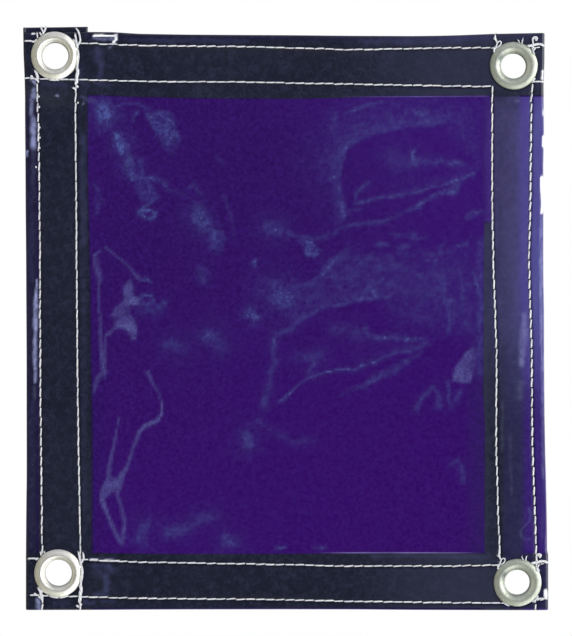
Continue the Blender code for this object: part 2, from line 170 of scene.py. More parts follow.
# Bluish painted reflections on the clear film
REFLECTION_STROKES = (
    (1.10, 3.4, ((-96.0, 111.2), (-95.6, 108.2))),
    (2.0, 1.3, ((-88.6, 96.4), (-87.6, 92.0, 1.3), (-86.3, 88.0))),
    (0.60, 2.6, ((-86.4, 95.0), (-84.6, 88.0), (-82.6, 81.6), (-79.9, 75.4, 0.8))),
    (0.35, 1.3, ((-76.2, 83.7), (-75.7, 76.3))),
    (0.55, 0.8, ((-81.5, 73.1), (-76.0, 74.6), (-70.9, 74.9), (-65.5, 73.2), (-63.3, 70.4))),
    (0.60, 0.7, ((-67.7, 64.6), (-74.1, 59.3), (-76.8, 56.6))),
    (0.85, 0.6, ((-76.9, 55.6), (-75.0, 57.6), (-71.0, 57.6), (-68.4, 56.0), (-69.2, 53.8),
                 (-73.2, 53.4), (-76.9, 55.6))),
    (0.45, 0.7, ((-77.8, 109.7), (-80.5, 104.9))),
    (0.40, 0.7, ((-73.4, 110.6), (-72.2, 106.4), (-69.0, 101.0))),
    (0.55, 3.2, ((-46.6, 55.4), (-43.6, 50.2))),
    (0.30, 2.0, ((-43.4, 26.0), (-43.0, 20.0))),
    (0.55, 0.6, ((-76.0, 20.4), (-73.4, 21.0), (-71.0, 20.2))),
    (0.60, 0.7, ((-76.6, 10.6), (-74.6, 13.0), (-71.2, 12.6), (-69.6, 9.4), (-72.4, 7.8), (-76.0, 8.6))),
    (0.30, 2.4, ((-76.2, 6.3), (-70.0, 4.6), (-63.5, 8.5, 0.5))),
    (0.20, 0.7, ((-100.4, 62.0), (-98.6, 64.4), (-96.6, 62.2), (-98.4, 60.4), (-100.4, 62.0))),
    (0.35, 3.0, ((-60.5, -13.8), (-56.0, -14.8))),
    (0.35, 3.8, ((-41.0, -9.4), (-36.0, -10.8), (-32.5, -16.0, 0.6))),
    (0.50, 2.6, ((-20.2, -61.5), (-19.8, -66.5))),
    (0.35, 3.2, ((-74.1, -108.7), (-75.6, -117.6))),
    (0.30, 2.6, ((-62.4, -113.4), (-52.0, -110.6), (-45.0, -105.6), (-38.0, -104.4))),
    (0.40, 2.8, ((-31.5, -117.4), (-27.5, -118.6))),
    (0.90, 0.7, ((-15.9, 29.6), (-15.7, 28.9))),
    (0.55, 2.2, ((-18.6, 3.6), (-16.2, 1.2))),
    (0.80, 0.6, ((23.5, 73.4), (27.2, 75.6))),
    (0.50, 1.5, ((29.8, 62.0), (30.6, 57.0), (31.6, 54.2))),
    (0.62, 0.6, ((37.2, 61.1), (43.8, 63.1), (50.5, 64.7), (61.1, 65.3), (67.7, 66.4), (77.0, 69.7),
                 (87.6, 72.3), (94.2, 74.3), (100.8, 77.6))),
    (0.40, 0.7, ((27.3, 46.5), (34.6, 49.8), (43.8, 50.9), (53.1, 51.4), (60.0, 54.6))),
    (0.40, 0.6, ((31.9, 56.4), (39.9, 58.4))),
    (0.65, 1.2, ((68.3, 88.4, 0.7), (67.7, 84.3), (68.8, 81.4, 0.7))),
    (0.42, 1.3, ((69.0, 84.0), (75.0, 83.4), (84.0, 83.3), (95.4, 81.5, 0.7))),
    (0.25, 4.6, ((58.0, 86.0), (63.0, 82.0))),
    (0.40, 0.8, ((37.2, 63.1), (38.5, 67.0), (43.8, 71.7))),
    (0.40, 0.9, ((1.4, 45.2), (8.0, 42.8), (14.7, 42.4), (25.3, 44.5), (27.9, 46.5))),
    (0.30, 3.4, ((-9.0, 48.5), (-3.0, 46.5))),
    (0.50, 5.4, ((-4.6, 14.6), (0.4, 10.8))),
    (0.45, 1.8, ((25.6, 30.2), (19.6, 23.6))),
    (0.45, 0.9, ((83.6, 26.0), (84.2, 12.7), (87.6, -0.5), (86.2, -5.8))),
    (0.30, 0.9, ((92.8, 25.0), (94.0, 12.0), (92.0, 0.0))),
    (0.60, 0.7, ((100.2, 24.6), (101.4, 19.6), (102.8, 14.0))),
    (0.40, 0.8, ((96.6, 53.0), (100.4, 56.4), (104.0, 57.4))),
    (0.34, 2.0, ((104.0, 40.0), (103.8, 0.0, 1.2), (103.4, -30.0, 0.6))),
    (0.45, 0.8, ((49.1, 39.6), (55.1, 38.9))),
    (0.55, 1.0, ((60.4, 38.0), (64.8, 38.5))),
    (0.50, 1.4, ((68.3, 44.4), (68.4, 43.2))),
    (0.45, 1.2, ((82.6, 38.6), (83.4, 38.5))),
    (0.35, 0.9, ((43.8, 32.8), (53.1, 31.8))),
    (0.35, 0.8, ((91.5, 39.2), (96.8, 39.6))),
    (0.35, 0.8, ((73.0, 31.3), (79.6, 31.0))),
    (0.30, 0.8, ((56.0, 44.6), (62.0, 44.0), (74.0, 42.4))),
    (0.40, 1.0, ((31.9, 109.4), (45.2, 113.4), (50.5, 114.7))),
    (0.40, 1.3, ((-5.2, -7.2), (0.0, -6.6), (5.4, -4.5))),
    (0.38, 1.2, ((-5.9, -9.8), (-5.2, -23.1), (-7.8, -33.7), (-11.2, -45.6))),
    (0.55, 0.6, ((-2.5, -43.6), (5.4, -37.0), (10.7, -32.3), (17.3, -29.0), (25.3, -27.3),
                 (39.9, -26.0), (47.8, -22.4), (58.4, -18.4), (69.0, -15.8), (75.6, -13.1))),
    (0.50, 1.3, ((43.0, -4.8, 0.7), (43.8, -8.5), (49.1, -9.8, 0.9), (61.1, -10.1), (73.0, -11.8, 0.7))),
    (0.25, 2.6, ((27.0, -6.0), (40.0, -8.0))),
    (0.28, 2.6, ((8.1, -21.1), (15.0, -20.0), (20.0, -18.4))),
    (0.28, 2.0, ((15.6, -21.0), (13.4, -28.4))),
    (0.42, 1.0, ((70.3, -46.9), (73.0, -41.6), (78.3, -36.3), (81.6, -40.3), (81.6, -46.9))),
    (0.40, 0.9, ((86.2, -33.7), (86.9, -40.3), (87.6, -46.9))),
    (0.28, 0.9, ((92.9, -39.0), (89.5, -45.6))),
    (0.35, 0.9, ((87.6, -77.4), (91.5, -74.7), (93.0, -78.0), (94.2, -86.7))),
    (0.18, 1.5, ((-14.5, -53.5), (-5.2, -60.2), (4.1, -65.5), (14.7, -64.1))),
    (0.22, 0.6, ((-63.5, 68.4), (-57.0, 66.9), (-51.5, 64.6))),
    (0.28, 0.6, ((-50.8, 68.8), (-48.6, 71.6), (-46.0, 68.6), (-44.6, 66.0))),
    (0.20, 0.6, ((-32.0, 65.7), (-29.0, 55.0), (-27.5, 50.0), (-26.6, 44.5))),
    (0.24, 0.5, ((-37.2, 86.2), (-32.6, 81.8))),
    (0.24, 0.8, ((-90.0, 112.6), (-80.0, 113.4), (-70.0, 111.6))),
    (0.22, 1.0, ((-101.0, 72.0), (-98.0, 66.0), (-99.5, 56.0))),
    (0.26, 1.2, ((60.0, 35.0), (66.0, 33.4), (72.0, 35.2), (80.0, 34.4), (88.0, 35.6))),
    (0.24, 1.0, ((62.0, 26.0), (70.0, 21.0), (78.0, 19.0))),
    (0.24, 2.2, ((79.0, 30.0), (79.6, 18.0), (81.0, 6.0))),
    (0.60, 0.5, ((-5.2, -121.2), (-0.5, -121.2))),
    (0.60, 0.5, ((15.8, -121.2), (21.2, -121.2))),
)
# Patches of painted reflection: strength, softness of the edge, and the outline in millimetres
REFLECTION_PATCHES = (
    (0.40, 1.4, ((-73.0, 109.2), (-68.8, 108.6), (-61.4, 109.7), (-59.3, 106.0), (-56.6, 95.4),
                 (-59.8, 86.9), (-63.5, 91.1), (-66.7, 95.4), (-70.9, 102.8))),
    (0.34, 1.2, ((-81.0, 73.1), (-70.9, 74.2), (-67.7, 64.6), (-74.1, 61.5), (-80.5, 68.9))),
    (0.34, 1.6, ((-49.7, 62.5), (-43.4, 61.5), (-40.2, 53.0), (-31.7, 44.5), (-32.8, 35.0),
                 (-38.1, 35.0), (-42.3, 44.5), (-48.7, 48.7), (-50.3, 55.1))),
    (0.35, 0.9, ((58.4, 53.8), (66.4, 59.1), (73.0, 63.1), (82.3, 67.7), (94.2, 73.7), (98.2, 75.0),
                 (91.5, 67.7), (83.6, 64.4), (74.3, 61.7), (71.7, 57.1), (66.4, 56.4))),
    (0.45, 0.9, ((6.7, 41.2), (14.7, 40.5), (18.7, 36.6), (16.0, 32.6), (12.0, 32.6), (10.0, 37.9))),
    (0.17, 1.6, ((-10.5, 12.7), (-3.9, 20.0), (4.1, 17.4), (14.7, 20.0), (19.3, 24.0), (25.3, 31.3),
                 (29.3, 35.2), (55.8, 33.9), (66.4, 27.3), (82.3, 27.3), (94.2, 26.0), (91.5, 4.8),
                 (86.2, -4.5), (82.3, 6.1), (67.7, 10.1), (54.4, 11.7), (34.6, 9.0), (21.3, 6.1),
                 (10.7, 0.8), (6.7, -1.9), (-1.2, 2.1), (-6.5, 7.4))),
    (0.36, 1.4, ((42.5, 20.7), (54.4, 11.7), (39.9, 12.3))),
    (0.28, 1.6, ((67.7, 112.1), (74.3, 110.8), (79.6, 106.8), (77.0, 103.5), (69.0, 105.5))),
    (0.28, 1.2, ((29.3, -39.6), (39.9, -34.3), (47.8, -29.0), (55.8, -25.0), (66.4, -19.7),
                 (73.0, -15.1), (67.7, -22.4), (59.7, -28.4), (51.8, -31.0), (46.5, -35.6),
                 (37.2, -37.0))),
    (0.13, 5.0, ((34.0, 116.0), (104.0, 116.0), (104.0, 82.0), (80.0, 104.0), (46.0, 98.0))),
    (0.11, 6.0, ((38.0, 30.0), (98.0, 38.0), (102.0, -10.0), (60.0, -4.0))),
    (0.20, 4.0, ((82.0, 16.0), (99.0, 20.0), (100.0, -8.0), (86.0, -8.0))),
)
# Edges with painted reflection on their left-hand side, going from point to point: strength, reach and
# points
REFLECTION_EDGES = (
    (0.34, 9.0, ((29.9, 84.3), (32.6, 90.2), (38.5, 94.9), (47.8, 98.2), (55.8, 100.4), (66.4, 102.8),
                 (79.6, 103.1))),
    (0.30, 3.4, ((31.2, 53.8), (29.5, 61.7), (29.0, 75.0), (29.5, 85.6), (27.9, 97.5), (27.3, 106.8))),
    (0.34, 4.0, ((29.3, 35.2), (25.3, 30.6), (19.3, 23.6), (14.7, 20.0), (4.1, 17.4))),
    (0.34, 4.0, ((6.7, -1.9), (10.7, 0.8), (21.3, 6.1), (34.6, 9.0), (47.8, 11.2), (54.4, 11.7))),
    (0.20, 3.0, ((61.1, 65.3), (77.0, 69.7), (94.2, 74.3), (100.8, 77.6))),
    (0.20, 3.0, ((39.9, -26.0), (47.8, -22.4), (58.4, -18.4), (75.6, -13.1))),
)
# Whitish glare on the hems
GLARE = (
    (0.9, 1.7, ((-133.0, 121.2), (-132.8, 118.0))),
    (0.9, 1.0, ((-134.6, 126.8), (-131.4, 124.2))),
    (0.45, 1.2, ((-134.2, 116.0), (-134.0, 108.0))),
    (0.85, 1.9, ((-133.2, 105.6), (-133.0, 92.0))),
    (0.04, 1.4, ((-133.4, 91.0), (-132.6, 84.0), (-133.6, 72.0))),
    (0.8, 0.6, ((-136.4, 89.0), (-136.4, 86.5))),
    (0.95, 1.6, ((-131.2, 20.5, 0.4), (-131.9, 8.0, 1.0), (-132.2, -5.0))),
    (0.82, 1.25, ((-132.2, -4.0), (-132.4, -20.0), (-132.2, -34.0, 0.7))),
    (0.10, 1.0, ((-132.4, -36.0), (-132.4, -42.0))),
    (0.42, 1.0, ((-101.2, 148.8), (-96.0, 148.0), (-91.0, 148.4))),
    (0.35, 0.8, ((-90.4, 147.4), (-91.4, 145.0), (-93.0, 143.8))),
    (0.8, 0.6, ((-120.8, 118.3), (-119.8, 118.0))),
    (0.6, 0.5, ((-107.0, 114.4), (-106.6, 113.8))),
    (0.9, 1.6, ((-130.8, -148.4), (-130.2, -153.4))),
    (0.24, 2.8, ((126.9, 2.0, 0.6), (126.2, -12.0), (125.2, -24.0, 0.6))),
    (0.10, 2.4, ((125.6, -34.0), (124.6, -41.0))),
    (0.06, 1.0, ((115.2, -44.0), (115.0, -70.0))),
    (0.05, 1.0, ((119.4, -62.0), (119.8, -92.0))),
    (0.16, 0.9, ((122.0, 115.4), (124.0, 115.2))),
    (0.42, 1.0, ((135.6, 56.0, 0.5), (135.6, 30.0), (135.6, 0.0, 0.7), (135.8, -30.0, 0.3))),
    (0.26, 0.9, ((136.2, -20.0), (136.4, -62.0), (136.5, -84.0, 0.5))),
    (0.08, 0.9, ((136.5, -84.0), (136.6, -118.0, 0.4))),
)
# Bluish painted sheen on the hems
HEM_SHEEN_STROKES = (
    (0.20, 3.0, ((-99.6, 144.6, 0.6), (-98.6, 141.0), (-98.8, 137.4))),
    (0.20, 2.2, ((-97.4, 134.6), (-97.0, 130.6), (-98.2, 127.4))),
    (0.16, 1.8, ((-109.4, 133.0), (-107.6, 126.0))),
    (0.20, 1.7, ((-107.6, 124.8), (-104.6, 123.4))),
    (0.14, 1.8, ((-127.6, 124.6), (-117.0, 124.4))),
    (0.14, 1.8, ((-97.0, 124.4), (-91.0, 124.0))),
    (0.34, 1.6, ((-107.6, 117.2, 0.6), (-104.6, 116.0), (-101.0, 115.4))),
    (0.15, 3.4, ((-101.0, -130.0, 0.6), (-99.0, -133.0))),
    (0.24, 2.6, ((-95.4, -136.0), (-94.4, -139.8), (-95.2, -143.0))),
    (0.50, 0.8, ((-104.0, -126.8), (-100.0, -127.0), (-91.0, -127.4))),
    (0.30, 1.0, ((-100.0, -130.0), (-93.0, -130.4))),
    (0.20, 1.6, ((-106.4, -150.2), (-101.6, -149.8))),
    (0.16, 1.6, ((-122.0, -150.8), (-114.0, -150.4))),
    (0.16, 1.4, ((-96.4, -149.6), (-90.0, -149.4))),
    (0.14, 2.2, ((-107.0, 96.0), (-106.6, 40.0))),
    (0.06, 2.2, ((-106.6, 40.0), (-106.4, -118.0))),
    (0.07, 1.8, ((-134.0, -44.0), (-134.0, -90.0), (-134.2, -120.0))),
    (0.10, 1.8, ((-134.0, 80.0), (-134.0, 20.0))),
    (0.12, 1.6, ((-82.0, 147.6), (-20.0, 147.2))),
    (0.13, 2.0, ((40.0, 147.4), (80.0, 147.4), (108.0, 148.8))),
    (0.30, 0.8, ((-107.4, 126.3), (-103.6, 126.2))),
    (0.26, 0.8, ((-101.0, 125.6), (-95.0, 125.4))),
    (0.50, 1.0, ((129.6, -100.6, 0.7), (130.2, -104.4), (129.6, -107.4, 0.7))),
    (0.36, 0.7, ((129.6, -107.4), (127.0, -109.4), (124.9, -112.4), (125.6, -115.6), (128.4, -117.4),
                 (130.6, -116.0))),
    (0.22, 2.4, ((-96.0, -130.0), (-91.0, -133.0))),
    (0.13, 1.6, ((46.0, -125.4, 0.5), (80.0, -125.8), (108.0, -125.8))),
    (0.22, 1.8, ((-100.0, -146.0), (-94.0, -147.0))),
)
# Bright edges where the film turns towards the light
GLINTS = (
    (1.5, 0.55, ((-101.0, 150.0), (-97.6, 150.1))),
    (1.3, 0.42, ((-97.4, 150.2), (-92.6, 149.9), (-89.2, 150.2))),
    (1.3, 0.50, ((-88.8, 151.2), (-89.0, 148.8), (-90.6, 146.2, 1.3))),
    (1.1, 0.5, ((-133.7, 150.9), (-132.6, 151.0))),
    (1.1, 0.5, ((-134.6, 127.9), (-133.6, 127.8))),
    (1.0, 0.8, ((137.2, 110.2), (137.2, 108.6))),
    (1.4, 0.8, ((136.9, 97.0, 0.5), (137.1, 91.6))),
    (1.4, 0.55, ((136.1, 75.4), (136.2, 64.0), (136.1, 56.6))),
    (1.4, 0.9, ((138.0, -144.0), (138.2, -147.2))),
    (1.2, 0.55, ((-102.6, -127.3), (-99.8, -127.5))),
    (1.2, 0.55, ((-95.0, -127.8), (-88.4, -128.1))),
    (1.5, 0.9, ((136.7, 131.2), (136.9, 127.2))),
)

# Little knots of thread by the left rows
KNOTS = ((-130.2, 117.7), (-130.0, 112.1), (-129.7, 101.2), (-129.7, 95.9), (-129.8, 90.6),
         (-109.5, 114.4), (-131.7, 80.4))
KNOT_RADIUS = 0.42 * MM

# Loose ends of thread round a corner's grommet: radius, lift, and points from the grommet's centre
LEFT_LOOSE_ENDS = (
    (0.50, 0.5, ((11.2, 14.8), (12.7, 12.2), (13.5, 8.5), (12.9, 6.6), (12.1, 5.1), (12.3, 3.7))),
    (0.55, 0.3, ((10.7, 11.8), (11.2, 8.9), (11.6, 6.6), (12.0, 4.2))),
    (0.42, 0.3, ((-7.4, 15.2), (-6.6, 13.4), (-6.0, 12.4))),
    (0.50, 0.2, ((-4.6, 15.4), (-5.4, 13.2), (-6.5, 11.2))),
    (0.40, 0.3, ((-9.4, 12.2), (-9.1, 9.2))),
    (0.40, 0.3, ((-8.0, 12.4), (-7.0, 10.6))),
    (0.45, 0.2, ((-16.1, 7.7), (-12.8, 7.8), (-10.9, 7.0))),
    (0.50, 0.4, ((12.3, 3.7), (12.6, -1.1), (12.0, -5.6), (11.8, -9.1), (11.3, -14.8))),
    (0.85, 0.4, ((11.9, -6.6), (12.2, -8.8), (11.7, -10.9), (11.6, -13.4), (11.0, -15.6))),
    (0.60, 0.5, ((11.5, -6.4), (12.2, -7.4))),
    (0.65, 0.5, ((11.7, -9.0), (12.5, -9.8))),
    (0.60, 0.5, ((11.4, -15.9), (12.3, -16.7))),
    (0.55, 0.5, ((9.8, -17.1), (10.8, -17.7))),
    (0.45, 0.3, ((-10.7, -7.6), (-9.4, -10.9), (-8.7, -14.6))),
    (0.40, 0.3, ((-9.6, -8.6), (-8.6, -11.6))),
    (0.50, 0.4, ((-12.6, -10.8), (-11.8, -11.2))),
    (0.50, 0.4, ((-10.3, -12.2), (-9.5, -13.0))),
)
RIGHT_LOOSE_ENDS = (
    (0.45, 0.3, ((-9.7, 16.6), (-9.9, 14.2), (-9.2, 13.0), (-8.9, 11.3), (-10.3, 7.8))),
    (0.65, 0.5, ((-10.2, 14.4), (-9.6, 14.0))),
    (0.35, 0.8, ((-9.3, 10.8), (-8.6, 12.2), (-7.5, 12.9), (-6.7, 12.2), (-7.3, 10.7), (-9.2, 9.2))),
    (0.50, 0.3, ((-10.2, 9.8), (-10.5, 7.0))),
    (0.32, 0.4, ((2.2, 13.8), (3.0, 11.9))),
    (0.35, 0.4, ((4.8, 14.1), (4.1, 11.4))),
    (0.45, 0.8, ((9.8, 8.0), (10.2, 11.0), (10.0, 14.2), (11.4, 15.2), (12.8, 14.4))),
    (0.55, 0.9, ((10.6, 14.4), (12.2, 14.5), (11.6, 13.2))),
    (0.65, 0.5, ((7.0, 10.2), (10.1, 10.8), (13.6, 11.4), (16.2, 10.4))),
    (0.40, 0.4, ((11.6, 9.6), (10.2, 7.4), (11.0, 6.0))),
    (0.42, 0.3, ((9.6, -8.5), (13.0, -8.4), (16.2, -8.6))),
)


# ---------------------------------------------------------------- arithmetic on whole arrays
def smooth_step(low, high, value):
    share = np.clip((value - low) / (high - low), 0.0, 1.0)
    return share * share * (3.0 - 2.0 * share)


def soft_noise(x, z, lump, seed):
    """Smooth noise from -1 to 1 whose lumps are about lump across."""
    table = np.random.default_rng(seed).uniform(-1.0, 1.0, (64, 64))
    u = x / lump + 32.0
    v = z / lump + 32.0
    column = np.floor(u).astype(int)
    row = np.floor(v).astype(int)
    across = smooth_step(0.0, 1.0, u - column)
    up = smooth_step(0.0, 1.0, v - row)
    low = table[column % 64, row % 64] * (1 - across) + table[(column + 1) % 64, row % 64] * across
    row = row + 1
    high = table[column % 64, row % 64] * (1 - across) + table[(column + 1) % 64, row % 64] * across
    return low * (1 - up) + high * up


def distance_to_route(x, z, route, radius):
    """Distance from each point to a route given in millimetres, as a multiple of radius metres.
    Its sign is negative on the route's right-hand side."""
    nearest = np.full(x.shape, 1e6)
    for (x0, z0, *share0), (x1, z1, *share1) in zip(route, route[1:]):
        run_x = (x1 - x0) * MM
        run_z = (z1 - z0) * MM
        away_x = x - x0 * MM
        away_z = z - z0 * MM
        along = np.clip((away_x * run_x + away_z * run_z) / (run_x**2 + run_z**2), 0.0, 1.0)
        start = share0[0] if share0 else 1.0
        end = share1[0] if share1 else 1.0
        away = np.hypot(away_x - along * run_x, away_z - along * run_z)
        away = away / (radius * (start + (end - start) * along))
        away = np.where(run_x * away_z - run_z * away_x < 0.0, -away, away)
        nearest = np.where(np.abs(away) < np.abs(nearest), away, nearest)
    return nearest


def strayed(x, z, amount):
    """Points moved about by up to amount, so that nothing drawn there is quite regular."""
    across = soft_noise(x, z, 6.0 * MM, 21) + 0.5 * soft_noise(x, z, 2.3 * MM, 22)
    up = soft_noise(x, z, 6.0 * MM, 23) + 0.5 * soft_noise(x, z, 2.3 * MM, 24)
    return x + amount * across, z + amount * up


def brushed(x, z, strokes, softness, stray, spread=1.0, halo=0.0):
    """The strokes' soft-edged, uneven strength at each point.

    They stray sideways by up to stray, are spread times as wide as they say, and share halo of
    their strength with a wide soft surround.
    """
    wander_x, wander_z = strayed(x, z, stray)
    ragged = 1.0 + 0.25 * soft_noise(x, z, 3.1 * MM, 25)
    fading = 0.85 + 0.30 * soft_noise(x, z, 8.0 * MM, 26)
    total = np.zeros(x.shape)
    for strength, radius, route in strokes:
        reach = np.abs(distance_to_route(wander_x, wander_z, route, radius * MM)) * ragged / spread
        core = 1.0 - smooth_step(1.0 - softness, 1.3, reach)
        surround = np.exp(-((reach / 1.9) ** 2))
        total = np.maximum(total, strength * ((1.0 - halo) * core + halo * surround))
    return total * fading


def filled(x, z, patches, stray):
    """The patches' strength at each point."""
    wander_x, wander_z = strayed(x, z, stray)
    total = np.zeros(x.shape)
    for strength, softness, outline in patches:
        closed = outline + outline[:1]
        crossings = np.zeros(x.shape)
        for (x0, z0), (x1, z1) in zip(closed, closed[1:]):
            spans = (z0 * MM > wander_z) != (z1 * MM > wander_z)
            height = (wander_z / MM - z0) / (z1 - z0 if z1 != z0 else 1.0)
            crossings += spans & (wander_x / MM < x0 + (x1 - x0) * height)
        edge = np.abs(distance_to_route(wander_x, wander_z, closed, softness * MM))
        depth = np.where(crossings % 2 == 1, edge, -edge)
        total = np.maximum(total, strength * smooth_step(-1.2, 1.6, depth))
    uneven = 0.45 * soft_noise(x, z, 4.6 * MM, 27) + 0.35 * soft_noise(x, z, 1.9 * MM, 28)
    return total * (1.05 + uneven)


def edged(x, z, edges, stray):
    """The strength at each point of the painted reflection that fades away leftwards from each edge."""
    wander_x, wander_z = strayed(x, z, stray)
    total = np.zeros(x.shape)
    for strength, reach, route in edges:
        away = distance_to_route(wander_x, wander_z, route, MM)
        fade = np.where(away >= 0.0, np.exp(-away / reach), np.exp(-(away**2)))
        total = np.maximum(total, strength * fade)
    return total


# ---------------------------------------------------------------- the shape of the hanging panel
def graph(place, points):
    """A broken line's height at each place. Places are in metres, and the places of the line's own
    points in millimetres."""
    places, heights = zip(*points)
    return np.interp(place / MM, places, heights)


def row_across(row_name, along):
    """Where a row of stitches lies across its hem, at positions along it."""
    axis, points = ROWS[row_name]
    positions = [point[axis] * MM for point in points]
    offsets = [point[1 - axis] * MM for point in points]
    return np.interp(along, positions, offsets)


def hang_wave(x, z):
    """How far the panel stands forward of its flat plane, held flat at the four grommets."""
    wave = 0.9 * MM * np.sin((0.6 * x + z) / (38.0 * MM) + 0.5)
    wave += 0.5 * MM * np.sin((x - 0.4 * z) / (26.0 * MM) + 1.9)
    edge = smooth_step(95.0 * MM, 135.0 * MM, np.abs(x))
    wave += 0.3 * MM * edge * np.sin(z / (8.5 * MM) + 1.0)
    wave += 0.22 * MM * soft_noise(x, z, 26.0 * MM, 3)
    for centre in GROMMETS.values():
        away = np.hypot(x - centre.x, z - centre.z)
        wave *= smooth_step(9.0 * MM, 34.0 * MM, away)
    return wave


def crease_ridges(x, z):
    """Sharp folds left in the film, standing forward of it."""
    ridge = np.zeros(x.shape)
    for strength, radius, route in CREASES:
        away = distance_to_route(x, z, route, radius * MM)
        ridge = np.maximum(ridge, strength * 0.22 * MM * np.exp(-(away**2)))
    return ridge


def hem_fullness(x, z):
    """1 midway between a hem's two rows of stitches, 0 on a row, and a little beyond the outer row."""
    fullness = np.zeros(x.shape)
    for hem in HEMS:
        level = hem in ("top", "bottom")
        outward = 1.0 if hem in ("top", "right") else -1.0
        along, across = (x, z) if level else (z, x)
        outer = row_across(f"{hem}_outer", along)
        inner = row_across(f"{hem}_inner", along)
        share = (across - inner) / (outer - inner)
        between = np.sin(math.pi * np.clip(share, 0.0, 1.0))
        beyond = np.sin(math.pi * np.clip((across - outer) * outward / (9.0 * MM), 0.0, 1.0))
        fullness = np.maximum(fullness, np.maximum(between, 0.7 * beyond))
    return fullness


def stitch_dip(x, z):
    """How far the thread pulls the film in along the rows, most at each needle hole."""
    dip = np.zeros(x.shape)
    for row_name, (axis, points) in ROWS.items():
        along, across = (x, z) if axis == 0 else (z, x)
        away = (across - row_across(row_name, along)) / (0.85 * MM)
        ends = (points[0][axis] * MM, points[-1][axis] * MM)
        here = (along > ends[0] - MM) & (along < ends[1] + MM)
        pull = 0.10 + 0.14 * np.cos(math.pi * along / STITCH_PITCH) ** 8
        dip = np.maximum(dip, here * pull * MM * np.exp(-(away**2)))
    return dip


def band(value, low, high, softness):
    """1 between low and high, and 0 outside them, with soft edges."""
    above_low = smooth_step(low - softness, low + softness, value)
    return above_low * (1.0 - smooth_step(high - softness, high + softness, value))


# The tapes were laid a little askew, so the edges that show wander by a millimetre or so
def top_tape_edge(x):
    return TAPE_BOX["top"][0].z + graph(x, TOP_TAPE_SHIFT) * MM


def bottom_tape_edge(x):
    return TAPE_BOX["bottom"][1].z + graph(x, BOTTOM_TAPE_SHIFT) * MM


def left_tape_edge(z):
    return TAPE_BOX["left"][1].x + graph(z, LEFT_TAPE_SHIFT) * MM


def right_tape_edge(z):
    """The right tape's inner edge, which steps back above its splice."""
    shift = np.where(z > TAPE_SPLICE_Z, TAPE_SPLICE_STEP, graph(z, RIGHT_TAPE_SHIFT) * MM)
    return TAPE_BOX["right"][0].x + shift


def right_tape_outer_edge(z):
    """The right tape's outer edge, which reaches further out low down."""
    return TAPE_BOX["right"][1].x + 1.8 * MM * (1.0 - smooth_step(-50.0 * MM, 20.0 * MM, z))


def tape_cover(x, z, fade):
    """1 where a black tape lies behind the film. Beyond the right tape it fades over twice fade."""
    left = band(x, TAPE_BOX["left"][0].x, left_tape_edge(z), 0.9 * MM)
    right_low, right_high = right_tape_edge(z), right_tape_outer_edge(z)
    right = smooth_step(right_low - 0.5 * MM, right_low + 0.5 * MM, x)
    right = right * (1.0 - smooth_step(right_high - fade, right_high + fade, x))
    top = band(z, top_tape_edge(x), TAPE_BOX["top"][1].z + 2.0 * MM, 0.4 * MM)
    bottom = band(z, TAPE_BOX["bottom"][0].z - 2.0 * MM, bottom_tape_edge(x), 0.25 * MM)
    beyond_left = 0.88 * (1.0 - smooth_step(-132.0 * MM, -130.0 * MM, x))
    beyond_top = 0.93 * smooth_step(TAPE_BOX["top"][1].z - MM, TAPE_BOX["top"][1].z + MM, z)
    cover = np.maximum(np.maximum(left, right), np.maximum(top, bottom))
    return np.maximum(cover, np.maximum(beyond_left, beyond_top))


def painted_seam_shade(x, z):
    """The painted shade in the rows' grooves, most at the needle holes, and the painted shadow round
    each flange.
    """
    grime_and_shade = np.zeros(x.shape)
    for row_name, (axis, points) in ROWS.items():
        along, across = (x, z) if axis == 0 else (z, x)
        side = 0.3 * MM if axis == 1 else -0.3 * MM
        away = (across - row_across(row_name, along) - side) / (1.15 * MM)
        here = (along > points[0][axis] * MM) & (along < points[-1][axis] * MM)
        hole = 0.75 + 0.25 * np.cos(math.pi * along / STITCH_PITCH) ** 6
        grime_and_shade = np.maximum(grime_and_shade, here * hole * np.exp(-(away**4)))
    for centre in GROMMETS.values():
        away = np.hypot(x - centre.x - 0.2 * MM, z - centre.z + 0.3 * MM)
        rim_shadow = 1.0 - smooth_step(FLANGE_RADIUS, FLANGE_RADIUS + 1.1 * MM, away)
        grime_and_shade = np.maximum(grime_and_shade, 0.8 * rim_shadow)
    return grime_and_shade


def painted_lip_highlight(x, z):
    """How strong the painted highlight is on the line where the film steps over the bottom and the top
    tape's edge.
    """
    low = smooth_step(14.0 * MM, 40.0 * MM, x) * (1.0 - smooth_step(86.0 * MM, 106.0 * MM, x))
    high = smooth_step(20.0 * MM, 70.0 * MM, x) * (1.0 - smooth_step(106.0 * MM, 109.0 * MM, x))
    return np.where(z < 0.0, low, 0.45 * high) * (0.8 + 0.3 * soft_noise(x, z, 7.0 * MM, 41))


def painted_strip_reflection(x, z):
    """How much a painted reflection whitens the right hem's film, more towards its fold and higher up.
    """
    height = smooth_step(-64.0 * MM, 14.0 * MM, z)
    streaks = 1.0 + 0.12 * soft_noise(x, z * 0.2, 2.2 * MM, 31) + 0.08 * soft_noise(x, z, 14.0 * MM, 32)
    between = band(z, TAPE_BOX["bottom"][1].z, TAPE_BOX["top"][0].z, 0.5 * MM)
    between = between * (1.0 - 0.3 * smooth_step(107.0 * MM, 117.0 * MM, z))
    lower = graph(x, LOWER_STRIP_REFLECTION)
    return (lower + (graph(x, UPPER_STRIP_REFLECTION) - lower) * height) * streaks * between


# ---------------------------------------------------------------- the film, one folded sheet
FLAP_STEP = 1.3 * MM
HEM_STEP = 0.7 * MM
PANEL_STEP = 1.15 * MM
EDGE_STEP = 0.3 * MM
EDGE_ZONE = 0.9 * MM
BEND_STEPS = 8


